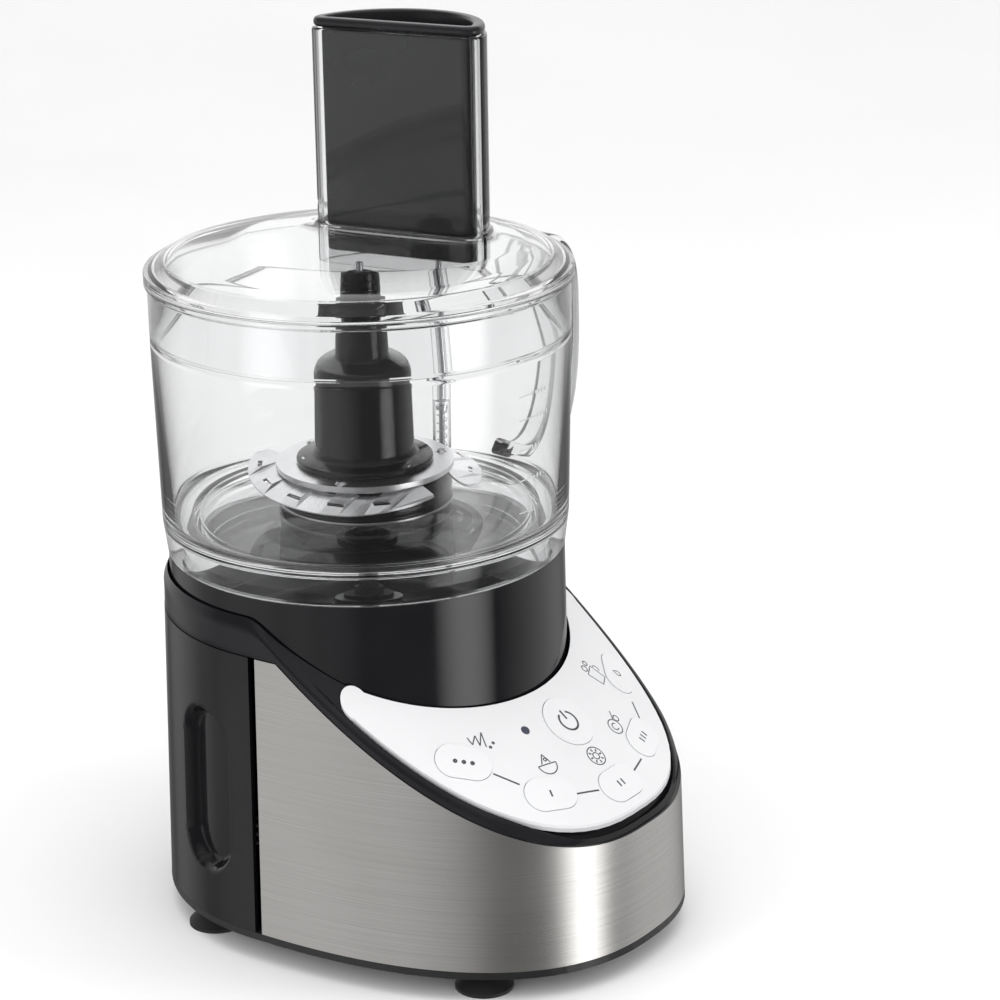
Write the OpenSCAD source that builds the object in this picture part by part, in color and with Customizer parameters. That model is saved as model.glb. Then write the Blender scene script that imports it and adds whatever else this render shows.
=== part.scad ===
// Food processor: clear bowl with lid, feed tube and pusher on a belt-driven base.
// Millimetres, +Z up. The front faces -Y and the object stands on z = 0.
// Every module is drawn round the bowl axis; place() then centres the whole object.

/* [Base] */
// Radius of the bowl seat where it meets the deck
seat_r = 84; // [76:0.5:96]
// How far the base stands out past the seat on each side
base_margin = 6; // [5:0.5:14]
// Distance from the bowl axis to the front of the base
base_front = 141; // [132:1:170]
// Distance from the foot of the base to the top of the seat
base_h = 147; // [140:1:180]
// Wall of the plastic casings
casing_t = 2.4; // [1.8:0.1:3.5]
// Thickness of the steel sleeve
steel_t = 0.8; // [0.5:0.1:1.5]
// Thickness of the base plate
plate_t = 3; // [2:0.5:5]
// How much narrower the base is at its top, as a share
base_taper = 0.031; // [0:0.001:0.05]
// Place of the seam between the steel sleeve and the rear casing
seam_y = -8; // [-20:1:10]
// Height of the feet
foot_h = 10; // [6:0.5:16]
// Radius of a foot
foot_r = 12; // [8:0.5:14]

/* [Deck] */
// Slope of the control deck
deck_angle = 38; // [30:1:44]
// Radius of the deck's crown across its width
deck_r = 232; // [180:2:320]
// Drop from the top of the seat to the deck at the front of the seat
deck_drop = 50.5; // [44:0.5:60]
// Width of the black rim round the control panel
rim_w = 4; // [3.5:0.5:9]
// Height of the black rim above the steel sleeve
rim_h = 3; // [2.5:0.5:8]
// Thickness of the printed control panel
panel_t = 1; // [0.6:0.1:2]
// Travel of a key
key_travel = 0.4; // [0.2:0.1:0.8]

/* [Bowl] */
// Radius of the bowl just below the lid
bowl_r = 86.5; // [80:0.5:98]
// Wall of the bowl and the lid
clear_t = 2.4; // [1.8:0.1:3.5]
// Height of the bowl from the seat to its rim
bowl_h = 115.5; // [95:0.5:140]
// Height of the bowl floor above the seat
floor_z = 14.5; // [12:0.5:22]
// Depth of the lid's skirt over the bowl
skirt_h = 23.5; // [16:0.5:32]
// Reach of the handle from the bowl axis
handle_reach = 126; // [120:1:160]
// Width of the handle
handle_w = 13; // [9:0.5:20]
// Direction of the handle from the right-hand side
handle_turn = -10; // [-30:1:20]

/* [Lid and feed tube] */
// Height of the lid's middle above its rim
lid_crown = 6.5; // [3:0.5:14]
// Radius of the D-shaped feed tube
tube_r = 40; // [28:0.5:42]
// Distance from the bowl axis to the flat side of the feed tube
tube_flat = 30; // [27:0.5:36]
// Height of the feed tube above the lid's rim
tube_h = 88.7; // [60:0.5:120]
// Depth of the feed tube below the lid's rim
tube_drop = 12; // [6:0.5:14]
// Direction of the feed tube from the right-hand side
tube_turn = 8; // [-20:1:30]
// Gap all round between the pusher and the tube
pusher_gap = 2; // [0.8:0.1:3]

/* [Blade] */
// Radius swept by the blades
blade_r = 50; // [40:0.5:64]
// Thickness of a blade
blade_t = 1.2; // [0.8:0.1:2]
// Height of the blade above the bowl floor
blade_z = 16; // [10:0.5:24]
// How far the top of the blade hub stays below the rim of the bowl
hub_drop = 2.2; // [0.6:0.2:10]
// Length of the thin upper part of the blade hub
hub_neck = 33.8; // [26:0.2:40]

/* [Drive] */
// Radius of the drive spindle
spindle_r = 4; // [3:0.25:6]
// Running clearance of a shaft in its bush
run_fit = 0.05; // [0.02:0.01:0.1]
// Distance from the spindle to the motor shaft
drive_centres = 62; // [56:0.5:72]
// Radius of the pulley on the motor shaft
small_pulley_r = 7.5; // [6:0.5:10]
// Radius of the pulley on the spindle
large_pulley_r = 35; // [26:0.5:36]
// Radius of the armature
armature_r = 16.4; // [13:0.2:18]
// Length of the motor's iron
motor_iron = 28; // [20:1:34]
// Radius of the motor shaft
motor_shaft_r = 2.5; // [2:0.25:3]

/* [Hidden] */
$fn = 96;
e = 0.01;

// Base levels
half_w = seat_r + base_margin;
base_back = half_w - 1.5;
seat_z = foot_h + base_h;
plate_z = foot_h + plate_t;
seam_z = seat_z - 23.6;
seat_top_r = seat_r - 1;
seat_wall = 2.6;
recess_r = seat_r - 10;
recess_d = 11;
part_gap = 0.2;

// Deck
deck_z = seat_z - deck_drop;
membrane_t = 1.2;
key_gap = 0.2;
key_proud = 0.4;
dome_h = 0.25;
outer_rank_x = 56.5;

// Bowl and lid, heights from the top of the seat
foot_ring_r = seat_top_r + 0.1;
neck_r = bowl_r - 2.9;
neck_z = bowl_h - skirt_h;
chimney_r = 9.5;
chimney_top = floor_z + 46.5;
lid_rim_z = bowl_h + 4;
lid_rim_r = bowl_r + 1.4;
lug_count = 4;
handle_mid = 61;
lug_w = 6;
rod_r = 1.3;
rod_place = [recess_r + 4, 11];
rod_travel = 3.5;
rod_top = bowl_h + 3;
rod_low = -4.8;
collar_z = 34;
pocket_low = 9;

// Drive levels, from the floor
pulley_z = plate_z + 4;
pulley_h = 10;
bracket_z = pulley_z + 11.5;
fan_z = bracket_z + 3.5;
coil_h = 7;
iron_z = fan_z + 13;
iron_top = iron_z + motor_iron;
commutator_z = iron_top + 8;
upper_bracket_z = commutator_z + 8;
air_gap = 0.6;
stator_r = armature_r + 13;
stator_flat = armature_r + 10;
mount_x = stator_flat - 1.5;
mount_y = 14;
housing_r = 13.7;
bush_r = 9;
spindle_top = chimney_top + 15;
flat_w = 1.5 * spindle_r;
place_x = (handle_reach * cos(handle_turn) + handle_w / 2 * abs(sin(handle_turn)) - half_w) / 2;
place_y = (base_back - base_front) / 2;

black = [0.07, 0.07, 0.08];
clear = [0.86, 0.9, 0.92, 0.35];
steel = [0.74, 0.73, 0.71];
copper = [0.72, 0.42, 0.2];
iron = [0.45, 0.46, 0.48];

// ---------------------------------------------------------------- shared shapes

module place() {
    translate([-place_x, -place_y, 0]) children();
}

module ring(outer, inner, height, z = 0) {
    translate([0, 0, z])
        difference() {
            cylinder(r = outer, h = height);
            translate([0, 0, -1]) cylinder(r = inner, h = height + 2);
        }
}

// The base in plan: a round back and a front that follows a superellipse
function signed_power(v, n) = sign(v) * pow(abs(v), n);
function plan_points(inset) = [
    for (t = [0 : 4 : 356])
        t < 180
            ? [(half_w - inset) * cos(t), base_back - half_w + (half_w - inset) * sin(t)]
            : [(half_w - inset) * signed_power(cos(t), 0.83),
               base_back - half_w + (base_front + base_back - half_w - inset)
                   * signed_power(sin(t), 0.83)]
];
function taper_at(z) = 1 - base_taper * (z - foot_h) / (seam_z - foot_h);

module base_block(inset, low, high) {
    translate([0, 0, low])
        linear_extrude(height = high - low, scale = taper_at(high) / taper_at(low))
            scale(taper_at(low)) polygon(plan_points(inset));
}

// Deck frame: x across, y up the slope, z square to the deck where it meets the seat
module on_deck() {
    translate([0, -seat_r - 2, deck_z]) rotate([deck_angle, 0, 0]) children();
}

// Everything under a surface that lies depth below the crowned deck
module under_deck(depth) {
    on_deck()
        translate([0, 300, -deck_r]) rotate([90, 0, 0]) cylinder(r = deck_r - depth, h = 600, $fn = 240);
}

// Moves children to a place on the crowned deck, x across and s up the slope
module at_key(x, s) {
    on_deck()
        translate([0, s, -deck_r]) rotate([0, asin(x / deck_r), 0]) translate([0, 0, deck_r]) children();
}

// A round-ended bar, long by wide, turned by angle
module oval(long, wide, angle, height) {
    rotate([0, 0, angle]) {
        for (side = [-1, 1])
            translate([side * (long - wide) / 2, 0, 0]) cylinder(d = wide, h = height);
        if (long > wide)
            translate([-(long - wide) / 2, -wide / 2, 0]) cube([long - wide, wide, height]);
    }
}

// Keys: name, x across, s up the slope, length, width, turn
KEYS = [
    ["power", 1.5, -17, 24, 24, 0],
    ["pulse", -outer_rank_x, -8, 24, 15, -42],
    ["low", -34.5, -38.5, 24, 15, -22],
    ["normal", 0, -50.5, 24, 15, 0],
    ["high", 34.5, -38.5, 24, 15, 22],
    ["juice", outer_rank_x, -8, 24, 15, 42]
];

module key_prism(k, extra, low, high) {
    at_key(k[1], k[2])
        translate([0, 0, low]) oval(k[3] + 2 * extra, k[4] + 2 * extra, k[5], high - low);
}

module key(i) {
    color("whitesmoke")
        intersection() {
            key_prism(KEYS[i], 0, -6, 3);
            difference() {
                under_deck(-key_proud);
                under_deck(panel_t - 0.2);
            }
        }
}

// The crescent that the control panel covers, seen from above, with round tips
module crescent(inset, height) {
    tip = [half_w - 14.9, -49];
    tip_r = 5.9;
    difference() {
        base_block(rim_w + inset, deck_z - 60, deck_z + height);
        cylinder(r = seat_r + 0.8 + inset, h = 400);
        translate([-150, tip[1], 0]) cube([300, 200, 400]);
    }
    for (side = [-1, 1])
        translate([side * tip[0], tip[1], deck_z - 60]) cylinder(r = tip_r - inset, h = height + 60);
}

// A D in plan: flat side facing the bowl axis, round back, rounded corners
module d_shape(inset, height, corner = 7) {
    r = tube_r - inset;
    q = max(corner - inset, 2);
    corner_y = sqrt((r - q) * (r - q) - (inset + q) * (inset + q));
    slope = corner_y / (inset + q);
    rotate([0, 0, tube_turn]) translate([tube_flat, 0, 0]) {
        intersection() {
            cylinder(r = r, h = height);
            linear_extrude(height = height)
                polygon([
                    [inset, -inset * slope], [2 * inset + 2 * q, -2 * corner_y], [3 * r, -2 * corner_y],
                    [3 * r, 2 * corner_y], [2 * inset + 2 * q, 2 * corner_y], [inset, inset * slope]
                ]);
        }
        for (side = [-1, 1])
            translate([inset + q, side * corner_y, 0]) cylinder(r = q, h = height);
        translate([inset, -corner_y, 0]) cube([q, 2 * corner_y, height]);
    }
}

// Moves children to the lock rod's place beside the bowl wall
module at_rod(z = 0) {
    rotate([0, 0, rod_place[1]]) translate([rod_place[0], 0, z]) children();
}

module at_motor(z = 0) {
    translate([0, -drive_centres, z]) children();
}

// ---------------------------------------------------------------- casing

foot_back = [half_w - 20, 32];
foot_front = [half_w - 34, -96];
screw_front = [half_w - 24, -62];
screw_back = [(half_w - casing_t - 4.3) * cos(56), base_back - half_w + (half_w - casing_t - 4.3) * sin(56)];
screw_places = [for (side = [-1, 1], p = [screw_front, screw_back]) [side * p[0], p[1]]];
foot_plug_r = 4;
screw_r = 1.6;
head_r = 3.2;
head_h = 1.8;
screw_len = 14;
gland_z = 32;
gland_r = 6;
grip_w = 32;
grip_h = 72;
grip_z = 69;
grip_depth = 7;
grip_turn = 15;

module base_plate() {
    vent_pitch = 7;
    color(black)
        difference() {
            base_block(0, foot_h, plate_z);
            for (p = [foot_front, foot_back], side = [-1, 1])
                translate([side * p[0], p[1], 0]) cylinder(r = foot_plug_r, h = 60);
            for (p = screw_places)
                translate([p[0], p[1], foot_h - 1]) {
                    cylinder(r = screw_r, h = plate_t + 2);
                    cylinder(r = head_r, h = head_h + 1);
                }
            for (i = [-3 : 3])
                translate([i * vent_pitch - 1.5, -drive_centres - 24, foot_h - 1]) cube([3, 26, plate_t + 2]);
            for (i = [-5 : 5])
                translate([i * vent_pitch - 1.5, 48, foot_h - 1]) cube([3, 22, plate_t + 2]);
        }
}

// A screw boss joined to the wall beside it by a rib
module boss(x, y, rib) {
    translate([x, y, plate_z])
        difference() {
            union() {
                cylinder(r = 4.5, h = screw_len + 3);
                translate([0, -1, 0]) cube([rib, 2, screw_len + 3]);
            }
            translate([0, 0, -1]) cylinder(r = screw_r, h = screw_len + 2);
        }
}

module grip_block(extra, depth) {
    for (side = [0, 1])
        mirror([side, 0, 0])
            rotate([0, 0, grip_turn])
                translate([half_w - depth, 0, grip_z]) rotate([90, 0, 90])
                    oval(grip_h + 2 * extra, grip_w + 2 * extra, 90, depth + 10);
}

module rear_casing() {
    color(black)
        difference() {
            union() {
                difference() {
                    base_block(0, plate_z, seam_z);
                    base_block(casing_t, plate_z - 1, seam_z + 1);
                }
                intersection() {
                    base_block(0, plate_z, seam_z);
                    union() {
                        grip_block(casing_t, grip_depth + casing_t);
                        for (side = [0, 1])
                            mirror([side, 0, 0]) boss(screw_back[0], screw_back[1], 4);
                    }
                }
            }
            grip_block(0, grip_depth);
            translate([-150, seam_y - 200, 0]) cube([300, 200, 400]);
            translate([0, 0, gland_z]) rotate([-90, 0, 0]) cylinder(r = gland_r, h = 200);
        }
}

module steel_sleeve() {
    color(steel)
        difference() {
            intersection() {
                base_block(0, plate_z, seam_z);
                under_deck(rim_h);
            }
            base_block(steel_t, plate_z - 1, seam_z + 1);
            translate([-150, seam_y, 0]) cube([300, 200, 400]);
        }
}

module sleeve_frame() {
    color([0.15, 0.15, 0.16])
        difference() {
            union() {
                difference() {
                    intersection() {
                        base_block(steel_t + part_gap, plate_z, seam_z - 1);
                        under_deck(rim_h + 1);
                    }
                    base_block(steel_t + part_gap + casing_t, plate_z - 1, seam_z + 1);
                }
                intersection() {
                    base_block(steel_t + part_gap + 1, plate_z, seam_z);
                    for (side = [0, 1])
                        mirror([side, 0, 0]) boss(screw_front[0], screw_front[1], 30);
                }
            }
            translate([-150, seam_y, 0]) cube([300, 200, 400]);
        }
}

// The flat top behind the slope, with its bevelled shoulder
shoulder_z = seat_z - 8.5;
module shoulder(lower) {
    translate([0, 0, shoulder_z - 10 - lower])
        cylinder(r1 = seat_r + 6.5 - lower, r2 = seat_r + 0.6 - lower, h = 10);
    translate([-200, -200, 0]) cube([400, 400, shoulder_z - 10 - lower + e]);
}

board_depth = 13;
light_place = [-21.6, -11];
light_r = 1.9;

module deck_trim() {
    plate_drop = panel_t + membrane_t;
    color(black)
        difference() {
            union() {
                difference() {
                    intersection() {
                        base_block(0, deck_z - 60, shoulder_z);
                        under_deck(0);
                        shoulder(0);
                    }
                    intersection() {
                        base_block(casing_t, deck_z - 61, shoulder_z - casing_t);
                        under_deck(plate_drop + 1.6);
                        shoulder(1.2);
                    }
                    intersection() {
                        translate([-200, -200, 0]) cube([400, 400, seam_z]);
                        under_deck(rim_h);
                    }
                }
                on_deck()
                    for (x = [-34, 34], s = [-46, -16])
                        translate([x, s, -board_depth]) cylinder(r = 2.5, h = board_depth - 5.4);
            }
            translate([0, 0, deck_z - 40]) cylinder(r = seat_r + part_gap, h = 300);
            difference() {
                crescent(0, 60);
                under_deck(plate_drop);
            }
            at_key(light_place[0], light_place[1]) translate([0, 0, -9]) cylinder(r = light_r + 0.1, h = 12);
        }
}

module bowl_seat() {
    low = deck_z - 14;
    under = seat_z - recess_d - 3;
    color(black)
        difference() {
            rotate_extrude($fn = 180)
                polygon([
                    [seat_top_r, seat_z], [seat_r, low], [seat_r - seat_wall, low],
                    [seat_top_r - seat_wall, seat_z - 3], [recess_r + 2, seat_z - 3],
                    [recess_r + 2, under], [housing_r, under], [housing_r, under + 3],
                    [recess_r, under + 3], [recess_r, seat_z]
                ]);
            intersection() {
                under_deck(rim_h + 5);
                translate([-200, -200, 0]) cube([400, 400, under]);
            }
            for (a = [30, 150, 270])
                rotate([0, 0, a]) translate([recess_r - 1, -5.5, seat_z - recess_d]) cube([2.6, 11, 20]);
            at_rod(seat_z - 4) cylinder(r = rod_r + 0.9, h = 8);
        }
}

// ---------------------------------------------------------------- controls

module control_panel() {
    color("white")
        difference() {
            intersection() {
                crescent(part_gap, 60);
                under_deck(0);
            }
            under_deck(panel_t);
            for (k = KEYS) key_prism(k, key_gap, -8, 8);
            at_key(light_place[0], light_place[1]) translate([0, 0, -9]) cylinder(r = light_r + 0.1, h = 12);
        }
}

module switch_membrane() {
    pocket = 0.7;
    color("gray") {
        difference() {
            intersection() {
                crescent(part_gap, 60);
                under_deck(panel_t);
            }
            under_deck(panel_t + membrane_t);
            difference() {
                for (k = KEYS) key_prism(k, key_gap, -8, 8);
                under_deck(panel_t + pocket);
            }
            at_key(light_place[0], light_place[1]) translate([0, 0, -9]) cylinder(r = light_r + 0.1, h = 12);
        }
        for (k = KEYS)
            at_key(k[1], k[2])
                translate([0, 0, -panel_t - pocket - 0.3]) cylinder(r1 = 3.5, r2 = 2.5, h = dome_h + 0.45);
    }
}

module status_light() {
    color("dimgray")
        at_key(light_place[0], light_place[1]) translate([0, 0, -6]) cylinder(r = light_r, h = 6.1);
}

module control_board() {
    color("darkgreen")
        on_deck() {
            translate([-38, -50, -board_depth - 1.6]) cube([76, 38, 1.6]);
            translate([-9, -38, -board_depth]) cube([18, 10, 2.2]);
            for (x = [-24, 18])
                translate([x, -30, -board_depth]) cube([6, 8, 3]);
            translate([-8, -24, -board_depth - 6.6]) cube([16, 6, 5]);
        }
}

module power_board() {
    board_z = plate_z + 16;
    color("darkgreen") {
        translate([-38, 46, board_z]) cube([76, 24, 1.6]);
        for (x = [-32, 32], y = [50, 66])
            translate([x, y, plate_z]) cylinder(r = 2.5, h = board_z - plate_z);
        for (x = [-20, -6])
            translate([x, 56, board_z + 1.6]) cylinder(r = 6, h = 20);
        translate([8, 50, board_z + 1.6]) cube([18, 14, 15]);
        translate([-34, 50, board_z + 1.6]) cube([5, 14, 9]);
    }
}

module cable_gland() {
    color(black)
        translate([0, base_back, gland_z]) rotate([90, 0, 0])
            difference() {
                union() {
                    translate([0, 0, -0.5]) cylinder(r = gland_r, h = 12);
                    translate([0, 0, casing_t + 1.2]) cylinder(r = gland_r + 2, h = 2.5);
                }
                translate([0, 0, -2]) cylinder(r = 3.5, h = 16);
            }
}

module base_screws() {
    color("silver")
        for (p = screw_places)
            translate([p[0], p[1], foot_h])
                difference() {
                    union() {
                        cylinder(r = head_r - 0.1, h = head_h);
                        cylinder(r = screw_r, h = plate_t + screw_len - 1);
                    }
                    for (a = [0, 90])
                        rotate([0, 0, a]) translate([-1.8, -0.4, -1]) cube([3.6, 0.8, 2]);
                }
}

module foot(x, y) {
    neck = 5.5;
    color([0.12, 0.12, 0.12])
        translate([x, y, 0])
            rotate_extrude()
                polygon([
                    [0, 3], [foot_r - 5, 1.6], [foot_r - 1.2, 0], [foot_r, 0], [foot_r, 1.4],
                    [foot_r - 4, foot_h - 4.5], [neck, foot_h - 2.5], [neck + 0.8, foot_h],
                    [foot_plug_r, foot_h], [foot_plug_r, plate_z], [foot_plug_r + 0.8, plate_z],
                    [foot_plug_r - 1, plate_z + 2.5], [0, plate_z + 2.5]
                ]);
}

// ---------------------------------------------------------------- drive

housing_low = pulley_z + pulley_h + 4;
housing_top = seat_z - recess_d + 3;
bush_h = 14;
belt_t = 2;
flange_t = 1.2;

module spindle_housing() {
    color([0.2, 0.2, 0.21]) {
        ring(housing_r, spindle_r + 2.5, housing_top - housing_low - 2 * bush_h, housing_low + bush_h);
        ring(housing_r, bush_r, bush_h, housing_low);
        ring(housing_r, bush_r, bush_h, housing_top - bush_h);
        difference() {
            ring(housing_r + 10, housing_r - 1, 3, seat_z - recess_d - 6);
            for (a = [45 : 90 : 315])
                rotate([0, 0, a]) translate([housing_r + 6, 0, 0]) cylinder(r = 1.6, h = 300);
        }
    }
}

module bush(z) {
    color("peru") ring(bush_r, spindle_r + run_fit, bush_h, z);
}

module shaft_seal() {
    color("maroon") {
        ring(bush_r + 1, spindle_r + 0.3, 1.2, housing_top);
        ring(spindle_r + 2, spindle_r + 0.3, 3.5, housing_top);
    }
}

module motor_mounts() {
    color([0.1, 0.1, 0.1])
        for (x = [-1, 1], y = [-1, 1])
            at_motor() translate([x * mount_x, y * mount_y, plate_z]) {
                cylinder(r = 4, h = 5);
                cylinder(r = 2.8, h = bracket_z - plate_z);
                translate([0, 0, bracket_z - plate_z - 3]) cylinder(r = 4, h = 3);
            }
}

module lower_bracket() {
    color("silver")
        at_motor() {
            difference() {
                union() {
                    translate([-mount_x - 5, -mount_y - 5, bracket_z])
                        cube([2 * mount_x + 10, 2 * mount_y + 10, 2.5]);
                    translate([0, 0, bracket_z]) cylinder(r = 8, h = 3);
                }
                translate([0, 0, bracket_z - 1]) cylinder(r = motor_shaft_r + run_fit, h = 6);
                for (a = [0 : 60 : 300])
                    rotate([0, 0, a]) translate([14, 0, bracket_z - 1]) cylinder(r = 3.4, h = 6);
            }
            for (x = [-1, 1], y = [-1, 1])
                translate([x * mount_x, y * mount_y, bracket_z + 2.5 - e])
                    cylinder(r = 1.8, h = iron_z - bracket_z - 2.5 + e);
        }
}

module upper_bracket() {
    color("silver")
        at_motor() {
            difference() {
                union() {
                    translate([-mount_x - 3, -5, upper_bracket_z]) cube([2 * mount_x + 6, 10, 3]);
                    translate([0, 0, upper_bracket_z]) cylinder(r = 9, h = 4);
                }
                translate([0, 0, upper_bracket_z - 1]) cylinder(r = motor_shaft_r + run_fit, h = 8);
            }
            for (x = [-1, 1])
                translate([x * mount_x, 0, iron_top]) cylinder(r = 1.8, h = upper_bracket_z - iron_top + e);
        }
}

module stator_core() {
    color(iron)
        at_motor(iron_z)
            difference() {
                intersection() {
                    cylinder(r = stator_r, h = motor_iron);
                    translate([-stator_flat, -stator_flat, 0])
                        cube([2 * stator_flat, 2 * stator_flat, motor_iron]);
                }
                translate([0, 0, -1]) cylinder(r = armature_r + air_gap, h = motor_iron + 2);
            }
}

module field_coils() {
    color(copper)
        at_motor()
            for (z = [iron_z - coil_h, iron_top])
                difference() {
                    ring(stator_flat, armature_r + air_gap, coil_h, z);
                    translate([-60, -9, z - 1]) cube([120, 18, coil_h + 2]);
                }
}

commutator_r = 8;
module brush_holders() {
    color("goldenrod")
        at_motor()
            for (side = [0, 1])
                mirror([side, 0, 0])
                    translate([commutator_r + 0.3, -3, commutator_z + 1])
                        cube([11, 6, upper_bracket_z - commutator_z - 1]);
}

module motor_shaft() {
    color("silver")
        at_motor(plate_z + 2) cylinder(r = motor_shaft_r, h = upper_bracket_z + 6 - plate_z - 2);
}

module armature_core() {
    color(iron)
        at_motor(iron_z)
            difference() {
                cylinder(r = armature_r, h = motor_iron);
                translate([0, 0, -1]) cylinder(r = motor_shaft_r, h = motor_iron + 2);
                for (a = [0 : 30 : 330])
                    rotate([0, 0, a]) translate([armature_r - 4, -0.9, -1]) cube([6, 1.8, motor_iron + 2]);
            }
}

module armature_coils() {
    color(copper)
        at_motor() {
            ring(armature_r - 2.5, motor_shaft_r, 5, iron_z - 5);
            ring(armature_r - 2.5, motor_shaft_r, 5, iron_top);
        }
}

module commutator() {
    color(copper)
        at_motor()
            difference() {
                ring(commutator_r, motor_shaft_r, upper_bracket_z - commutator_z - 0.5, commutator_z);
                for (a = [0 : 15 : 345])
                    rotate([0, 0, a])
                        translate([commutator_r - 0.6, -0.2, commutator_z - 1]) cube([2, 0.4, 12]);
            }
}

module cooling_fan() {
    fan_r = armature_r + 4;
    color("ivory")
        at_motor(fan_z + 0.5) {
            ring(6, motor_shaft_r, 5, 0);
            ring(fan_r, 5.9, 1.2, 0);
            for (a = [0 : 40 : 320])
                rotate([0, 0, a]) translate([5.8, -0.6, 0]) cube([fan_r - 6.4, 1.2, 4.6]);
        }
}

// A belt pulley with a flange at each end of its face
module pulley(face_r, bore_r) {
    difference() {
        union() {
            cylinder(r = face_r, h = pulley_h);
            cylinder(r = face_r + belt_t, h = flange_t);
            translate([0, 0, pulley_h - flange_t]) cylinder(r = face_r + belt_t, h = flange_t);
        }
        translate([0, 0, -1]) cylinder(r = bore_r, h = pulley_h + 2);
    }
}

module motor_pulley() {
    color("silver") at_motor(pulley_z) pulley(small_pulley_r, motor_shaft_r);
}

module spindle_pulley() {
    web = (large_pulley_r + spindle_r) / 2;
    color([0.85, 0.85, 0.8])
        translate([0, 0, pulley_z])
            difference() {
                pulley(large_pulley_r, spindle_r);
                translate([0, 0, 6])
                    ring(large_pulley_r - 3, spindle_r + 6, pulley_h);
                for (a = [0 : 60 : 300])
                    rotate([0, 0, a]) translate([web, 0, -1]) cylinder(r = 5, h = pulley_h + 2);
            }
}

// The outline of a belt standing off both pulleys by extra, seen from above
module belt_area(extra, height) {
    tilt = asin((large_pulley_r - small_pulley_r) / drive_centres);
    small = small_pulley_r + extra;
    large = large_pulley_r + extra;
    cylinder(r = large, h = height);
    at_motor() cylinder(r = small, h = height);
    linear_extrude(height = height)
        polygon([
            [large * cos(tilt), -large * sin(tilt)],
            [-large * cos(tilt), -large * sin(tilt)],
            [-small * cos(tilt), -drive_centres - small * sin(tilt)],
            [small * cos(tilt), -drive_centres - small * sin(tilt)]
        ]);
}

module drive_belt() {
    slack = 0.3;
    color([0.1, 0.1, 0.1])
        translate([0, 0, pulley_z + flange_t + slack])
            difference() {
                belt_area(slack + belt_t - 0.6, pulley_h - 2 * flange_t - 2 * slack);
                translate([0, 0, -1]) belt_area(slack, pulley_h);
            }
}

module drive_spindle() {
    top = seat_z + spindle_top;
    color("silver")
        difference() {
            translate([0, 0, plate_z + 1.5]) cylinder(r = spindle_r, h = top - plate_z - 1.5);
            for (side = [0, 1])
                mirror([side, 0, 0])
                    translate([flat_w / 2, -10, top - 14]) cube([10, 20, 20]);
        }
}

// ---------------------------------------------------------------- lid lock

module lid_switch() {
    under = seat_z - recess_d - 3;
    color([0.3, 0.1, 0.1])
        rotate([0, 0, rod_place[1]])
            difference() {
                union() {
                    translate([rod_place[0] - 12, -4, under - 18]) cube([14, 8, 15.6]);
                    translate([rod_place[0] - 12, -4, under - 3]) cube([9, 8, 3]);
                }
                translate([rod_place[0], 0, under - 12]) cylinder(r = 1.5 + run_fit, h = 20);
            }
}

module switch_plunger() {
    under = seat_z - recess_d - 3;
    color("red") at_rod(under - 8) cylinder(r = 1.5, h = seat_z + rod_low - 0.3 - under + 8);
}

module lock_rod() {
    color("silver")
        at_rod(seat_z + rod_low) {
            cylinder(r = rod_r, h = rod_top - rod_low);
            translate([0, 0, collar_z - rod_low]) cylinder(r = 2.7, h = 2);
        }
}

module rod_spring() {
    wire = 0.35;
    turns = 6;
    color("silver")
        at_rod(seat_z + pocket_low + 0.3)
            linear_extrude(height = collar_z - pocket_low - 0.6, twist = -360 * turns, slices = 16 * turns, $fn = 8)
                translate([2.1, 0]) scale([1, 2.4]) circle(r = wire, $fn = 8);
}

// ---------------------------------------------------------------- bowl and lid

module at_seat(z = 0) {
    translate([0, 0, seat_z + z]) children();
}

floor_r = bowl_r - 1.6;
module bowl_outer() {
    cylinder(r1 = foot_ring_r, r2 = floor_r, h = floor_z);
    translate([0, 0, floor_z]) cylinder(r1 = floor_r, r2 = bowl_r, h = neck_z - 1.4 - floor_z);
}

module bowl() {
    color(clear)
        at_seat()
            difference() {
                union() {
                    rotate_extrude($fn = 180)
                        polygon([
                            [chimney_r - clear_t, floor_z - clear_t],
                            [recess_r - 3, floor_z - clear_t], [recess_r - 3, 3 - recess_d],
                            [recess_r - 0.6, 3 - recess_d], [recess_r - 0.6, floor_z - clear_t],
                            [foot_ring_r - clear_t, floor_z - clear_t], [foot_ring_r - clear_t, 0],
                            [foot_ring_r, 0], [floor_r, floor_z], [bowl_r, neck_z - 1.4],
                            [neck_r, neck_z + 0.4], [neck_r, bowl_h], [neck_r - clear_t, bowl_h],
                            [neck_r - clear_t, neck_z + 0.4], [bowl_r - clear_t, neck_z - 3],
                            [floor_r - clear_t, floor_z], [chimney_r, floor_z],
                            [chimney_r, chimney_top], [chimney_r - clear_t, chimney_top]
                        ]);
                    at_rod(6) cylinder(r = 4.2, h = bowl_h - 6);
                    at_rod(floor_z - 1)
                        translate([0, -3, 0]) cube([floor_r - 0.4 - rod_place[0], 6, neck_z - 1 - floor_z]);
                    for (a = [30, 150, 270])
                        rotate([0, 0, a]) translate([recess_r - 1.6, -5, 3 - recess_d]) cube([2.6, 10, 7]);
                }
                at_rod(-20) cylinder(r = rod_r + run_fit, h = 200);
                at_rod(pocket_low) cylinder(r = 3, h = collar_z + 4 - pocket_low);
                for (i = [0 : lug_count - 1])
                    rotate([0, 0, 45 + i * 360 / lug_count]) lug_slot();
            }
}

// The slot in the bowl's neck that a lid lug drops into and turns along
module lug_slot() {
    half = (lug_w + 1) / neck_r * 90 / PI;
    translate([0, 0, bowl_h - 16])
        difference() {
            union() {
                wedge(-half, half, 20);
                wedge(-half - 16, half, 4.4);
            }
            translate([0, 0, -1]) cylinder(r = neck_r - 1.1, h = 30);
        }
}

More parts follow.
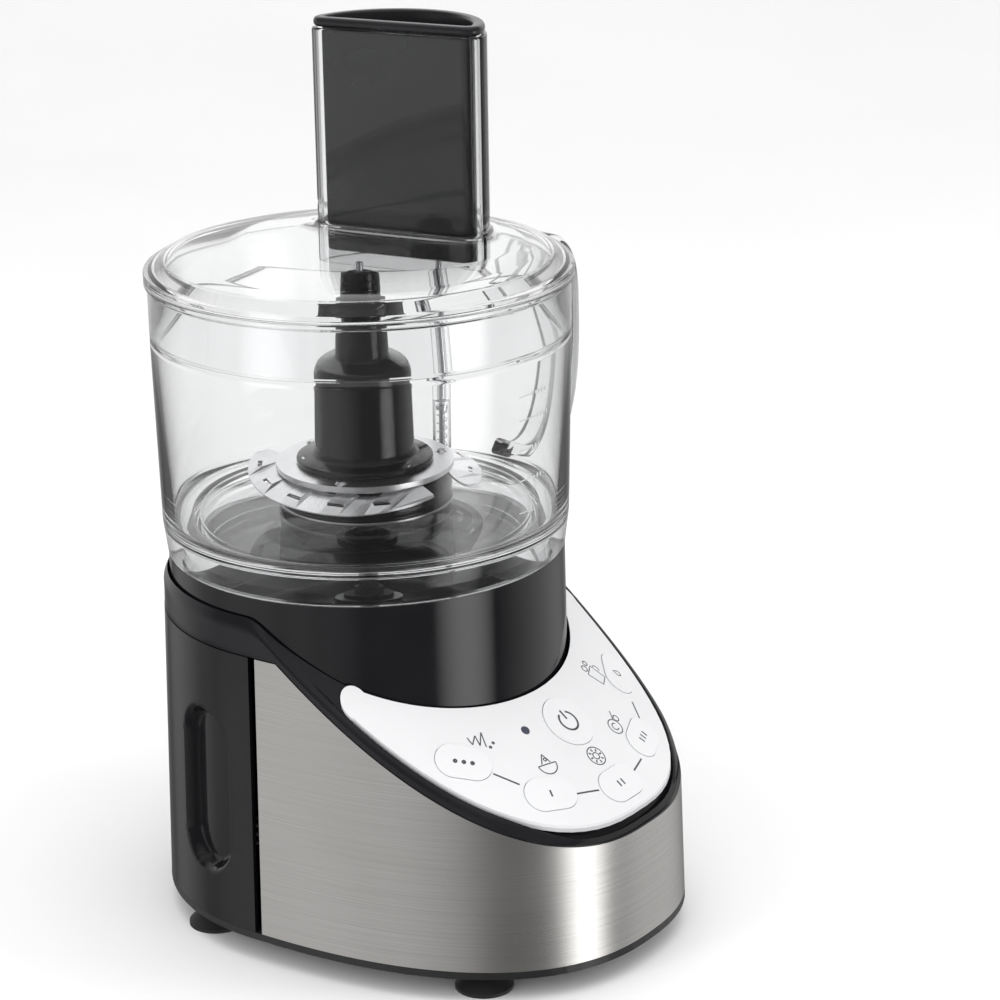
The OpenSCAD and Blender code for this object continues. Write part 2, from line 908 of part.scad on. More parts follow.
module wedge(from, to, height) {
    reach = neck_r + 8;
    linear_extrude(height = height)
        polygon([[0, 0], [reach * cos(from), reach * sin(from)], [reach * cos(to), reach * sin(to)]]);
}

function handle_point(t, rx, rz, n) = [
    bowl_r - 2.5 + rx * signed_power(cos(t), 2 / n),
    handle_mid + rz * signed_power(sin(t), 2 / n)
];

module handle() {
    bar = 12.5;
    out = handle_reach - bowl_r + 2.5;
    half_h = 53;
    color(clear)
        at_seat()
            difference() {
                rotate([0, 0, handle_turn])
                    translate([0, handle_w / 2, 0]) rotate([90, 0, 0])
                        linear_extrude(height = handle_w) {
                            difference() {
                                polygon([for (t = [-90 : 5 : 90]) handle_point(t, out, half_h, 2.5)]);
                                polygon([for (t = [-90 : 5 : 90]) handle_point(t, out - bar, half_h - bar, 2.5)]);
                            }
                            translate([bowl_r - 3, handle_mid - half_h])
                                square([6, neck_z - 1.4 - handle_mid + half_h]);
                        }
                bowl_outer();
                translate([0, 0, neck_z - 1.4]) cylinder(r = lid_rim_r + 0.4, h = 60);
            }
}

module lid() {
    lip_z = lid_rim_z - 5;
    bevel_r = bowl_r - 6;
    rest_z = bowl_h + 0.4;
    top_t = 2.2;
    color(clear)
        at_seat()
            difference() {
                union() {
                    rotate_extrude($fn = 180)
                        polygon([
                            [0, lid_rim_z + lid_crown - top_t],
                            [bevel_r - 7, lid_rim_z + lid_crown - top_t],
                            [bevel_r - 1.4, lid_rim_z + lid_crown - 2 - top_t],
                            [neck_r - clear_t, rest_z], [neck_r + 0.4, rest_z], [neck_r + 0.4, neck_z + 0.8],
                            [bowl_r, neck_z + 0.8], [bowl_r, lip_z - 1], [lid_rim_r, lip_z],
                            [lid_rim_r, lid_rim_z], [bevel_r, lid_rim_z + lid_crown - 2],
                            [bevel_r - 7, lid_rim_z + lid_crown], [0, lid_rim_z + lid_crown]
                        ]);
                    for (i = [0 : lug_count - 1])
                        rotate([0, 0, 45 + i * 360 / lug_count])
                            translate([0, 0, bowl_h - 15.6])
                                intersection() {
                                    ring(neck_r + 1, neck_r - 0.6, 3.4);
                                    translate([neck_r - 4, -lug_w / 2, 0]) cube([8, lug_w, 3.4]);
                                }
                }
                translate([0, 0, lid_rim_z - tube_drop - 1]) d_shape(0, tube_h + tube_drop + 2);
            }
}

// The tube moulded into the lid
module feed_tube() {
    color(clear)
        at_seat(lid_rim_z - tube_drop)
            difference() {
                d_shape(0, tube_h + tube_drop);
                translate([0, 0, -1]) d_shape(clear_t, tube_h + tube_drop + 2);
            }
}

module pusher() {
    body = clear_t + pusher_gap;
    low = lid_rim_z - tube_drop + 4.8;
    top = lid_rim_z + tube_h + 0.3;
    color(black)
        at_seat()
            difference() {
                union() {
                    translate([0, 0, low]) d_shape(body, top - low + e);
                    translate([0, 0, top]) d_shape(0.8, 4.2);
                }
                translate([0, 0, low + 2.2]) d_shape(body + 2, top - low + 20);
            }
}

// ---------------------------------------------------------------- cutting tool

plate_low = floor_z + blade_z;
collar_low = plate_low + blade_t;
collar_t = 2.2;
collar_r = 37.3;
drum_r = 36.6;
tool_bore = chimney_r + 0.5;
hub_low = collar_low + collar_t;
hub_top = bowl_h - hub_drop;
rivet_ring = 30.5;
rivet_r = 1.6;

module blade_hub() {
    shoulder = hub_top - hub_neck;
    color(black)
        at_seat()
            difference() {
                rotate_extrude()
                    polygon([
                        [0, hub_low], [29, hub_low], [28.5, hub_low + 2.6], [22, hub_low + 4],
                        [20.8, hub_low + 5.5], [19.9, shoulder], [18.8, shoulder + 2], [11, shoulder + 4],
                        [10.2, hub_top - 13.5], [8.4, hub_top - 12.5], [7.7, hub_top - 1],
                        [6.7, hub_top], [0, hub_top]
                    ]);
                translate([0, 0, hub_low - 1]) cylinder(r = tool_bore, h = chimney_top + 2 - hub_low);
                intersection() {
                    translate([0, 0, chimney_top]) cylinder(r = spindle_r + 0.1, h = spindle_top - chimney_top + 1);
                    translate([-flat_w / 2 - 0.1, -10, 0]) cube([flat_w + 0.2, 20, 400]);
                }
                translate([0, 0, hub_low - 1]) ring(17.2, tool_bore + 2.4, shoulder - hub_low);
                translate([0, 0, hub_top - 6]) cylinder(r = 1.5, h = 20);
                for (a = [20 : 120 : 260])
                    rotate([0, 0, a]) translate([25.4, 0, hub_low - 1]) cylinder(r = rivet_r, h = 30);
            }
}

module blade_collar() {
    color(steel)
        at_seat(collar_low)
            difference() {
                ring(collar_r, tool_bore, collar_t);
                for (a = [20 : 120 : 260])
                    rotate([0, 0, a]) translate([25.4, 0, -1]) cylinder(r = rivet_r, h = 30);
                for (a = [80 : 120 : 320])
                    rotate([0, 0, a]) translate([33, 0, -1]) cylinder(r = rivet_r, h = 30);
            }
}

// One sickle: a wide rounded root that sweeps round to a narrow tip
module sickle(height) {
    difference() {
        intersection() {
            cylinder(r = blade_r, h = height);
            translate([-blade_r - 1, -blade_r - 1, 0]) cube([2 * blade_r - 12, blade_r + 9, height]);
        }
        translate([7, 5, -1]) cylinder(r = blade_r - 11, h = height + 2);
    }
    translate([-blade_r + 8.5, 6, 0]) cylinder(r = 8, h = height);
}

module blade_plate() {
    color(steel)
        at_seat(plate_low)
            difference() {
                union() {
                    cylinder(r = drum_r - 1, h = blade_t);
                    for (a = [0, 180])
                        rotate([0, 0, a + 60]) sickle(blade_t);
                }
                translate([0, 0, -1]) cylinder(r = tool_bore, h = 5);
                for (a = [80 : 120 : 320])
                    rotate([0, 0, a]) translate([33, 0, -1]) cylinder(r = rivet_r, h = 30);
                for (a = [20 : 120 : 260])
                    rotate([0, 0, a]) translate([25.4, 0, -1]) cylinder(r = rivet_r, h = 30);
            }
}

module blade_drum() {
    color(black)
        at_seat()
            difference() {
                rotate_extrude()
                    polygon([
                        [tool_bore, plate_low], [tool_bore, floor_z + 3], [tool_bore + 2.4, floor_z + 3],
                        [tool_bore + 2.4, plate_low - 3], [drum_r - 2.6, plate_low - 3],
                        [drum_r - 2.6, floor_z + 2], [drum_r, floor_z + 2], [drum_r, plate_low]
                    ]);
                for (a = [80 : 120 : 320])
                    rotate([0, 0, a]) translate([33, 0, 0]) cylinder(r = rivet_r, h = 200);
                for (a = [20 : 120 : 260])
                    rotate([0, 0, a]) translate([25.4, 0, 0]) cylinder(r = rivet_r, h = 200);
            }
}

module collar_rivets() {
    color("silver")
        at_seat(plate_low - 3) {
            for (a = [80 : 120 : 320])
                rotate([0, 0, a]) translate([33, 0, 0]) {
                    cylinder(r = rivet_r, h = 3 + blade_t + collar_t + 0.1);
                    translate([0, 0, 3 + blade_t + collar_t]) cylinder(r1 = rivet_r + 1, r2 = rivet_r, h = 1);
                }
            for (a = [20 : 120 : 260])
                rotate([0, 0, a]) translate([25.4, 0, 0]) cylinder(r = rivet_r, h = 3 + blade_t + collar_t + 3);
        }
}

module hub_pin() {
    color("silver") at_seat(hub_top - 6) cylinder(r = 1.5, h = 10.4);
}

// ---------------------------------------------------------------- output

place() base_plate();
place() rear_casing();
place() steel_sleeve();
place() sleeve_frame();
place() deck_trim();
place() bowl_seat();
place() control_panel();
place() switch_membrane();
place() status_light();
place() control_board();
place() power_board();
place() cable_gland();
place() base_screws();
place() foot(-foot_front[0], foot_front[1]);  // front_left_foot
place() foot(foot_front[0], foot_front[1]);  // front_right_foot
place() foot(-foot_back[0], foot_back[1]);  // rear_left_foot
place() foot(foot_back[0], foot_back[1]);  // rear_right_foot
place() spindle_housing();
place() bush(housing_low);  // lower_bush
place() bush(housing_top - bush_h);  // upper_bush
place() shaft_seal();
place() motor_mounts();
place() stator_core();
place() field_coils();
place() lower_bracket();
place() upper_bracket();
place() brush_holders();
place() drive_belt();
place() lid_switch();
place() motor_shaft();
place() armature_core();
place() armature_coils();
place() commutator();
place() cooling_fan();
place() motor_pulley();
place() drive_spindle();
place() spindle_pulley();
place() key(0);  // power_key
place() key(1);  // pulse_key
place() key(2);  // low_key
place() key(3);  // normal_key
place() key(4);  // high_key
place() key(5);  // juice_key
place() switch_plunger();
place() bowl();
place() handle();
place() lock_rod();
place() rod_spring();
place() lid();
place() feed_tube();
place() pusher();
place() blade_hub();
place() blade_collar();
place() blade_plate();
place() blade_drum();
place() collar_rivets();
place() hub_pin();
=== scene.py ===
"""Looks of the food processor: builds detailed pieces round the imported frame.

Lengths in the helpers are millimetres round the bowl axis, as in the CAD source; P() turns them into metres.
"""

import bmesh
import bpy
import math
import numpy as np
from mathutils import Matrix, Vector
from mathutils.geometry import tessellate_polygon


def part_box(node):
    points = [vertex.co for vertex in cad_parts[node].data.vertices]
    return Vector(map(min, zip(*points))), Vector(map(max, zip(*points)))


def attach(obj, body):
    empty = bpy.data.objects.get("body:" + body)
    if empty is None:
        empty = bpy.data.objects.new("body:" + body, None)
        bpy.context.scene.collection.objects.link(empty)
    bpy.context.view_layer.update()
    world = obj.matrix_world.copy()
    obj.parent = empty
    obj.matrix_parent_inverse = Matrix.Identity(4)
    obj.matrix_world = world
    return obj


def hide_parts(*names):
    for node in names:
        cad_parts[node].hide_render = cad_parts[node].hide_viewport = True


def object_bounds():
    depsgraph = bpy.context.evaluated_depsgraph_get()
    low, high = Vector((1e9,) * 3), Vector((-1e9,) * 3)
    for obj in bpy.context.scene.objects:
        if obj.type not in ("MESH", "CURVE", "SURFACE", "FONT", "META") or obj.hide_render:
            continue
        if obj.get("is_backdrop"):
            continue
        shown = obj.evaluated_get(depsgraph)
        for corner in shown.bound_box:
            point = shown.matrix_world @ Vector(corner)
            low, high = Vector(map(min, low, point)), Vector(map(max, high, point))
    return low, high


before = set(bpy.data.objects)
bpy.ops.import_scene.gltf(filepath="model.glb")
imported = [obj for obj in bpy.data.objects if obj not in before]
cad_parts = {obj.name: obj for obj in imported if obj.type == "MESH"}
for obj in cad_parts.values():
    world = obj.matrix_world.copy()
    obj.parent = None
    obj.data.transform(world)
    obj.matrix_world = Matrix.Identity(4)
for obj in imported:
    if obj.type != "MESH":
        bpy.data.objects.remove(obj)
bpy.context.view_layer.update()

_lo, _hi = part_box("drive_spindle")
AX, AY = (_lo.x + _hi.x) / 2, (_lo.y + _hi.y) / 2
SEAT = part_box("bowl_seat")[1].z * 1000
PLATE_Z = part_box("base_plate")[1].z * 1000
FOOT_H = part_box("base_plate")[0].z * 1000
HALF_W = (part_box("base_plate")[1].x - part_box("base_plate")[0].x) * 500
BASE_BACK = (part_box("base_plate")[1].y - AY) * 1000
BASE_FRONT = (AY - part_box("base_plate")[0].y) * 1000
SEAT_R = 84.0
SEAM_Z = SEAT - 23.6
SEAM_Y = -8.0
TAPER = 0.031
DECK_ANGLE = math.radians(38)
DECK_R = 232.0
DECK_O = (0.0, -SEAT_R - 2, SEAT - 50.5)
RIM_W, RIM_H = 4.0, 3.0
SHOULDER_Z = SEAT - 8.5
SHOULDER_DROP, SHOULDER_RUN = 10, 5.9
FLOOR_Z, RIM_Z, CROWN = 14.5, 119.5, 6.5
TUBE_R, TUBE_FLAT, TUBE_TOP, TUBE_LOW, TUBE_TURN = 40.0, 30.0, 208.2, 107.5, math.radians(8)


def P(x, y, z):
    return (AX + x / 1000, AY + y / 1000, z / 1000)


# ---------------------------------------------------------------- mesh helpers


def add_mesh(name, verts, faces, mat=None, body=None, smooth=30, replaces=()):
    """A mesh from millimetre points round the bowl axis, z from the floor."""
    me = bpy.data.meshes.new(name)
    me.from_pydata([P(*v) for v in verts], [], faces)
    me.update()
    bm = bmesh.new()
    bm.from_mesh(me)
    bmesh.ops.remove_doubles(bm, verts=bm.verts, dist=1e-6)
    bmesh.ops.dissolve_degenerate(bm, edges=bm.edges, dist=1e-7)
    bmesh.ops.recalc_face_normals(bm, faces=bm.faces)
    bm.to_mesh(me)
    bm.free()
    me.shade_smooth()
    if smooth is not None:
        me.set_sharp_from_angle(angle=math.radians(smooth))
    ob = bpy.data.objects.new(name, me)
    bpy.context.scene.collection.objects.link(ob)
    if mat:
        me.materials.append(mat)
    if body:
        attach(ob, body)
    if replaces:
        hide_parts(*replaces)
    return ob


def chain(loops, closed=False, cap_start=False, cap_end=False, wrap=True):
    """Joins equal-length loops of points by quads."""
    n = len(loops[0])
    verts = [tuple(p) for lp in loops for p in lp]
    faces = []
    m = len(loops)
    for i in range(m if closed else m - 1):
        a, b = i * n, ((i + 1) % m) * n
        for j in range(n if wrap else n - 1):
            k = (j + 1) % n
            faces.append((a + j, a + k, b + k, b + j))
    if cap_start:
        faces.append(tuple(range(n)))
    if cap_end:
        faces.append(tuple(range((m - 1) * n, m * n)))
    return verts, faces


def rounded(profile, radii, steps=5, closed=True):
    """Rounds the corners of a 2-D polygon; radii is one per point (0 keeps it sharp)."""
    out = []
    n = len(profile)
    for i, (p, r) in enumerate(zip(profile, radii)):
        if r <= 0 or (not closed and i in (0, n - 1)):
            out.append(tuple(p))
            continue
        p = np.array(p, float)
        a = np.array(profile[i - 1], float) - p
        b = np.array(profile[(i + 1) % n], float) - p
        la, lb = np.linalg.norm(a), np.linalg.norm(b)
        a, b = a / la, b / lb
        half = math.acos(max(-1, min(1, float(a @ b)))) / 2
        if half > math.radians(88):
            out.append(tuple(p))
            continue
        t = min(r / math.tan(half), la * 0.48, lb * 0.48)
        r = t * math.tan(half)
        c = p + (a + b) / np.linalg.norm(a + b) * (r / math.sin(half))
        s, e = p + a * t - c, p + b * t - c
        ang = math.acos(max(-1, min(1, float(s @ e) / (r * r))))
        sign = 1 if s[0] * e[1] - s[1] * e[0] > 0 else -1
        for k in range(steps + 1):
            th = sign * ang * k / steps
            out.append((c[0] + s[0] * math.cos(th) - s[1] * math.sin(th),
                        c[1] + s[0] * math.sin(th) + s[1] * math.cos(th)))
    return out


def circle(r, z, n):
    t = np.arange(n) * 2 * math.pi / n
    return np.stack([r * np.cos(t), r * np.sin(t), np.full(n, z)], 1)


def revolve(profile, n):
    return chain([circle(r, z, n) for r, z in profile], closed=True)


# ---------------------------------------------------------------- base surfaces


def plan(t, inset=0.0):
    """A point of the base outline, t in degrees from +X, anticlockwise."""
    c, s = math.cos(math.radians(t)), math.sin(math.radians(t))
    if t % 360 < 180:
        return (HALF_W - inset) * c, BASE_BACK - HALF_W + (HALF_W - inset) * s
    pc, ps = math.copysign(abs(c) ** 0.83, c), math.copysign(abs(s) ** 0.83, s)
    return (HALF_W - inset) * pc, BASE_BACK - HALF_W + (BASE_FRONT + BASE_BACK - HALF_W - inset) * ps


def taper(z):
    return 1 - TAPER * (z - FOOT_H) / (SEAM_Z - FOOT_H)


def deck_z(x, y, depth=0.0):
    """Height of the crowned deck over a point of the floor."""
    lz = math.sqrt(max((DECK_R - depth) ** 2 - x * x, 1)) - DECK_R
    return DECK_O[2] + (lz + math.sin(DECK_ANGLE) * (y - DECK_O[1])) / math.cos(DECK_ANGLE)


def on_deck(x, s, lift=0.0):
    """A point at x across and s up the slope of the deck, lifted square to it."""
    th = math.asin(x / DECK_R)
    lx, lz = (DECK_R + lift) * math.sin(th), (DECK_R + lift) * math.cos(th) - DECK_R
    c, sn = math.cos(DECK_ANGLE), math.sin(DECK_ANGLE)
    return (lx, DECK_O[1] + s * c - lz * sn, DECK_O[2] + s * sn + lz * c)


def outline_columns(step):
    """Outline parameters spaced evenly along the outline, as (t, x, y) at floor level."""
    ts = np.arange(0, 360.01, 0.1)
    pts = np.array([plan(min(t, 359.999)) for t in ts])
    seg = np.r_[0, np.cumsum(np.hypot(*np.diff(pts, axis=0).T))]
    n = int(seg[-1] / step)
    return np.interp(np.arange(n) * seg[-1] / n, seg, ts)


def wall_point(t, z, inset=0.0):
    x, y = plan(t, inset)
    k = taper(z)
    return x * k, y * k, z


def top_of(x, y):
    """The shoulder and the deck joined with a soft edge."""
    r = math.hypot(x, y)
    a, b = deck_z(x, y), SHOULDER_Z - (r - (SEAT_R + 0.6)) * SHOULDER_DROP / SHOULDER_RUN
    soft = 3.0
    h = max(soft - abs(a - b), 0) / soft
    return min(a, b) - h * h * soft / 4


def z_on_wall(t, f, z0=120.0):
    """The height where the outline's wall meets the surface f(x, y)."""
    z = z0
    for _ in range(12):
        x, y, _z = wall_point(t, z)
        z = f(x, y)
    return z


# ---------------------------------------------------------------- materials


def nodes_of(mat):
    mat.use_nodes = True
    nt = mat.node_tree
    bsdf = next(n for n in nt.nodes if n.type == "BSDF_PRINCIPLED")
    return nt, bsdf


def coords(nt, scale=(1, 1, 1)):
    tc = nt.nodes.new("ShaderNodeTexCoord")
    mp = nt.nodes.new("ShaderNodeMapping")
    mp.inputs["Scale"].default_value = scale
    nt.links.new(tc.outputs["Object"], mp.inputs["Vector"])
    return mp.outputs["Vector"]


def noise(nt, vec, scale, detail=2.0, rough=0.5):
    n = nt.nodes.new("ShaderNodeTexNoise")
    n.inputs["Scale"].default_value = scale
    n.inputs["Detail"].default_value = detail
    n.inputs["Roughness"].default_value = rough
    nt.links.new(vec, n.inputs["Vector"])
    return n.outputs["Fac"]


def ramp(nt, fac, stops):
    r = nt.nodes.new("ShaderNodeValToRGB")
    els = r.color_ramp.elements
    while len(els) < len(stops):
        els.new(0.5)
    for el, (pos, col) in zip(els, stops):
        el.position = pos
        el.color = col if len(col) == 4 else (*col, 1)
    nt.links.new(fac, r.inputs["Fac"])
    return r.outputs["Color"]


def spread(nt, fac, lo, hi, a=0.3, b=0.7):
    m = nt.nodes.new("ShaderNodeMapRange")
    m.inputs["From Min"].default_value = a
    m.inputs["From Max"].default_value = b
    m.inputs["To Min"].default_value = lo
    m.inputs["To Max"].default_value = hi
    nt.links.new(fac, m.inputs["Value"])
    return m.outputs["Result"]


def bump(nt, bsdf, fac, strength, distance):
    b = nt.nodes.new("ShaderNodeBump")
    b.inputs["Strength"].default_value = strength
    b.inputs["Distance"].default_value = distance
    nt.links.new(fac, b.inputs["Height"])
    nt.links.new(b.outputs["Normal"], bsdf.inputs["Normal"])


def plastic(name, dark, light, rough=(0.12, 0.2), grain=900, bump_by=0.06, coat=0.0, spec=0.5):
    """Moulded plastic: faint colour drift, fine grain, roughness that varies with handling."""
    mat = bpy.data.materials.new(name)
    nt, b = nodes_of(mat)
    vec = coords(nt)
    broad = noise(nt, vec, 22, 3)
    fine = noise(nt, vec, grain, 2)
    nt.links.new(ramp(nt, broad, [(0.3, dark), (0.7, light)]), b.inputs["Base Color"])
    nt.links.new(spread(nt, broad, *rough), b.inputs["Roughness"])
    bump(nt, b, fine, bump_by, 0.00004)
    b.inputs["Specular IOR Level"].default_value = spec
    b.inputs["Coat Weight"].default_value = coat
    b.inputs["Coat Roughness"].default_value = 0.04
    return mat


def metal(name, dark, light, rough=(0.22, 0.34), streak=(2, 2, 260), aniso=0.0, bump_by=0.05, scale=9.0):
    mat = bpy.data.materials.new(name)
    nt, b = nodes_of(mat)
    vec = coords(nt, streak)
    lines = noise(nt, vec, scale, 6, 0.7)
    cloud = noise(nt, coords(nt), 14, 2)
    nt.links.new(ramp(nt, lines, [(0.3, dark), (0.7, light)]), b.inputs["Base Color"])
    nt.links.new(spread(nt, cloud, *rough), b.inputs["Roughness"])
    bump(nt, b, lines, bump_by, 0.00006)
    b.inputs["Metallic"].default_value = 1.0
    b.inputs["Anisotropic"].default_value = aniso
    return mat


def clear_plastic(name, tint, rough=0.015):
    """Polished clear plastic with the faintest unevenness from the mould."""
    mat = bpy.data.materials.new(name)
    nt, b = nodes_of(mat)
    vec = coords(nt)
    wavy = noise(nt, vec, 35, 2)
    nt.links.new(ramp(nt, wavy, [(0.3, [c * 0.985 for c in tint]), (0.7, tint)]), b.inputs["Base Color"])
    nt.links.new(spread(nt, noise(nt, vec, 60, 3), rough * 0.6, rough * 1.6), b.inputs["Roughness"])
    bump(nt, b, wavy, 0.03, 0.0002)
    b.inputs["Transmission Weight"].default_value = 1.0
    b.inputs["IOR"].default_value = 1.46
    return mat


M = {
    "gloss": plastic("black_gloss", (0.004, 0.004, 0.005), (0.008, 0.008, 0.0095), (0.07, 0.13), coat=0.1,
                     spec=0.4),
    "trim": plastic("black_trim", (0.008, 0.008, 0.0095), (0.013, 0.013, 0.015), (0.16, 0.24),
                    bump_by=0.02, spec=0.35),
    "satin": plastic("black_satin", (0.011, 0.011, 0.012), (0.02, 0.02, 0.021), (0.3, 0.42), 1400, 0.25),
    "pusher": plastic("pusher_black", (0.009, 0.009, 0.0105), (0.015, 0.015, 0.017), (0.22, 0.3), 1600,
                      0.3),
    "steel": metal("brushed_steel", (0.58, 0.57, 0.55), (0.72, 0.705, 0.685), (0.24, 0.31),
                   (1.2, 1.2, 300), 0.5),
    "blade": metal("blade_steel", (0.88, 0.88, 0.89), (0.97, 0.97, 0.98), (0.26, 0.36), (60, 60, 2), 0.0,
                   0.04),
    "plated": metal("plated_steel", (0.62, 0.62, 0.64), (0.78, 0.78, 0.8), (0.14, 0.24), (3, 3, 120), 0.0,
                    0.03),
    "iron": metal("laminated_iron", (0.16, 0.165, 0.175), (0.34, 0.345, 0.36), (0.4, 0.55), (1, 1, 900),
                  0.0, 0.3),
    "copper": metal("enamelled_copper", (0.42, 0.14, 0.05), (0.72, 0.33, 0.13), (0.2, 0.34), (8, 8, 700),
                    0.0, 0.4),
    "bronze": metal("oiled_bronze", (0.38, 0.23, 0.1), (0.55, 0.36, 0.17), (0.3, 0.42), (5, 5, 5), 0.0,
                    0.1),
    "cast": metal("die_cast", (0.42, 0.42, 0.43), (0.6, 0.6, 0.61), (0.38, 0.52), (12, 12, 12), 0.0, 0.3),
    "panel": plastic("panel_pearl", (0.72, 0.72, 0.73), (0.75, 0.75, 0.76), (0.3, 0.36), 2600, 0.08),
    "keycap": plastic("key_pearl", (0.735, 0.735, 0.745), (0.765, 0.765, 0.775), (0.26, 0.32), 2600, 0.08),
    "print": plastic("print_grey", (0.06, 0.06, 0.068), (0.085, 0.085, 0.095), (0.4, 0.5), 3000, 0.1),
    "mark": plastic("print_pale", (0.5, 0.5, 0.51), (0.58, 0.58, 0.59), (0.4, 0.5), 3000, 0.1),
    "mat": plastic("grey_rubber", (0.5, 0.5, 0.51), (0.57, 0.57, 0.58), (0.6, 0.75), 900, 0.3),
    "rubber": plastic("black_rubber", (0.012, 0.012, 0.012), (0.022, 0.022, 0.022), (0.5, 0.68), 700, 0.35),
    "lens": plastic("smoke_lens", (0.05, 0.055, 0.08), (0.07, 0.075, 0.1), (0.1, 0.16), 900, 0.02, 0.5),
    "board": plastic("circuit_board", (0.012, 0.07, 0.03), (0.02, 0.11, 0.05), (0.3, 0.45), 400, 0.2),
    "ivory": plastic("ivory_plastic", (0.6, 0.58, 0.5), (0.7, 0.68, 0.6), (0.35, 0.5), 900, 0.2),
    "clear": clear_plastic("clear_plastic", (0.985, 0.988, 0.99)),
}

CAD_LOOK = {
    "satin": "base_plate sleeve_frame spindle_housing lid_switch cable_gland",
    "gloss": "rear_casing bowl_seat blade_hub blade_drum",
    "mat": "switch_membrane",
    "lens": "status_light",
    "board": "control_board power_board",
    "plated": "base_screws drive_spindle motor_shaft lock_rod rod_spring collar_rivets hub_pin",
    "rubber": "front_left_foot front_right_foot rear_left_foot rear_right_foot "
              "shaft_seal motor_mounts drive_belt",
    "bronze": "lower_bush upper_bush brush_holders",
    "iron": "stator_core armature_core",
    "copper": "field_coils armature_coils commutator",
    "cast": "lower_bracket upper_bracket motor_pulley",
    "ivory": "cooling_fan spindle_pulley switch_plunger",
    "blade": "blade_collar blade_plate",
    "panel": "control_panel",
    "keycap": "power_key pulse_key low_key normal_key high_key juice_key",
    "clear": "bowl handle lid feed_tube",
    "trim": "deck_trim",
    "pusher": "pusher",
    "steel": "steel_sleeve",
}
for look, names in CAD_LOOK.items():
    for name in names.split():
        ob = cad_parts[name]
        ob.data.materials.clear()
        ob.data.materials.append(M[look])


# ---------------------------------------------------------------- steel sleeve and rear casing


GRIP_DEPTH, GRIP_EDGE = 5.6, 3.2
GRIP_AT, GRIP_WALL_R = 15, 86
GRIP_Z, GRIP_HALF_H, GRIP_R = 69, 20, 16


def grip_dent(t, z):
    """How far the wall is pressed in for the finger grips, 0 to 1."""
    x, y, _z = wall_point(t, z)
    a = math.degrees(math.atan2(y, abs(x)))
    along = (a - GRIP_AT) * math.pi / 180 * GRIP_WALL_R
    dz = max(abs(z - GRIP_Z) - GRIP_HALF_H, 0)
    d = math.hypot(along, dz) - GRIP_R
    f = min(max(-d / GRIP_EDGE, 0), 1)
    return f * f * (3 - 2 * f)


def shell(name, ts, low, high, thick, rows, mat, body, replaces, dent=None):
    """A wall between two heights along the outline; high may be a function of t."""
    outer, inner = [], []
    for i in range(rows + 1):
        out_row, in_row = [], []
        for t in ts:
            top = high(t) if callable(high) else high
            z = low + (top - low) * i / rows
            x, y, _z = wall_point(t, z)
            nx, ny = x, y - (BASE_BACK - HALF_W)
            d = math.hypot(nx, ny)
            nx, ny = nx / d, ny / d
            press = dent(t, z) if dent else 0
            out_row.append((x - nx * press, y - ny * press, z))
            in_row.append((x - nx * (thick + press), y - ny * (thick + press), z))
        outer.append(out_row)
        inner.append(in_row)
    loops = outer + inner[::-1]
    n = len(ts)
    verts, faces = chain(loops, closed=True, wrap=False)
    m = len(loops)
    for side in (0, n - 1):
        for i in range(rows):
            a, b = i * n + side, (i + 1) * n + side
            c, d = (m - 2 - i) * n + side, (m - 1 - i) * n + side
            faces.append((a, b, c, d))
    return add_mesh(name, verts, faces, mat, body, 40, replaces)


def seam_t(y):
    """The outline parameter of the seam on the right, found halfway up the wall."""
    ts = np.arange(-60, 60, 0.02)
    ys = np.array([plan(t % 360)[1] for t in ts])
    return float(ts[np.argmin(abs(ys * taper(75) - y))])


T_R = seam_t(SEAM_Y)
ALL_T = outline_columns(2.0)


def trim_low(x, y):
    return min(SEAM_Z, deck_z(x, y, RIM_H))


front_t = [t for t in ALL_T if 180 - T_R < t < 360 + T_R]
front_t = [180 - T_R + 0.12] + front_t + [360 + T_R - 0.12]
shell("steel_wrap", front_t, PLATE_Z + 0.15, lambda t: z_on_wall(t % 360, trim_low) - 0.25, 0.8, 40,
      M["steel"], "base", ("steel_sleeve",))
back_t = list(np.arange(T_R + 0.12, 180 - T_R - 0.1, 0.7))
shell("rear_shell", back_t, PLATE_Z + 0.1, SEAM_Z - 0.2, 2.4, 96, M["gloss"], "base",
      ("rear_casing",), lambda t, z: GRIP_DEPTH * grip_dent(t, z))


# ---------------------------------------------------------------- deck rim and shoulder


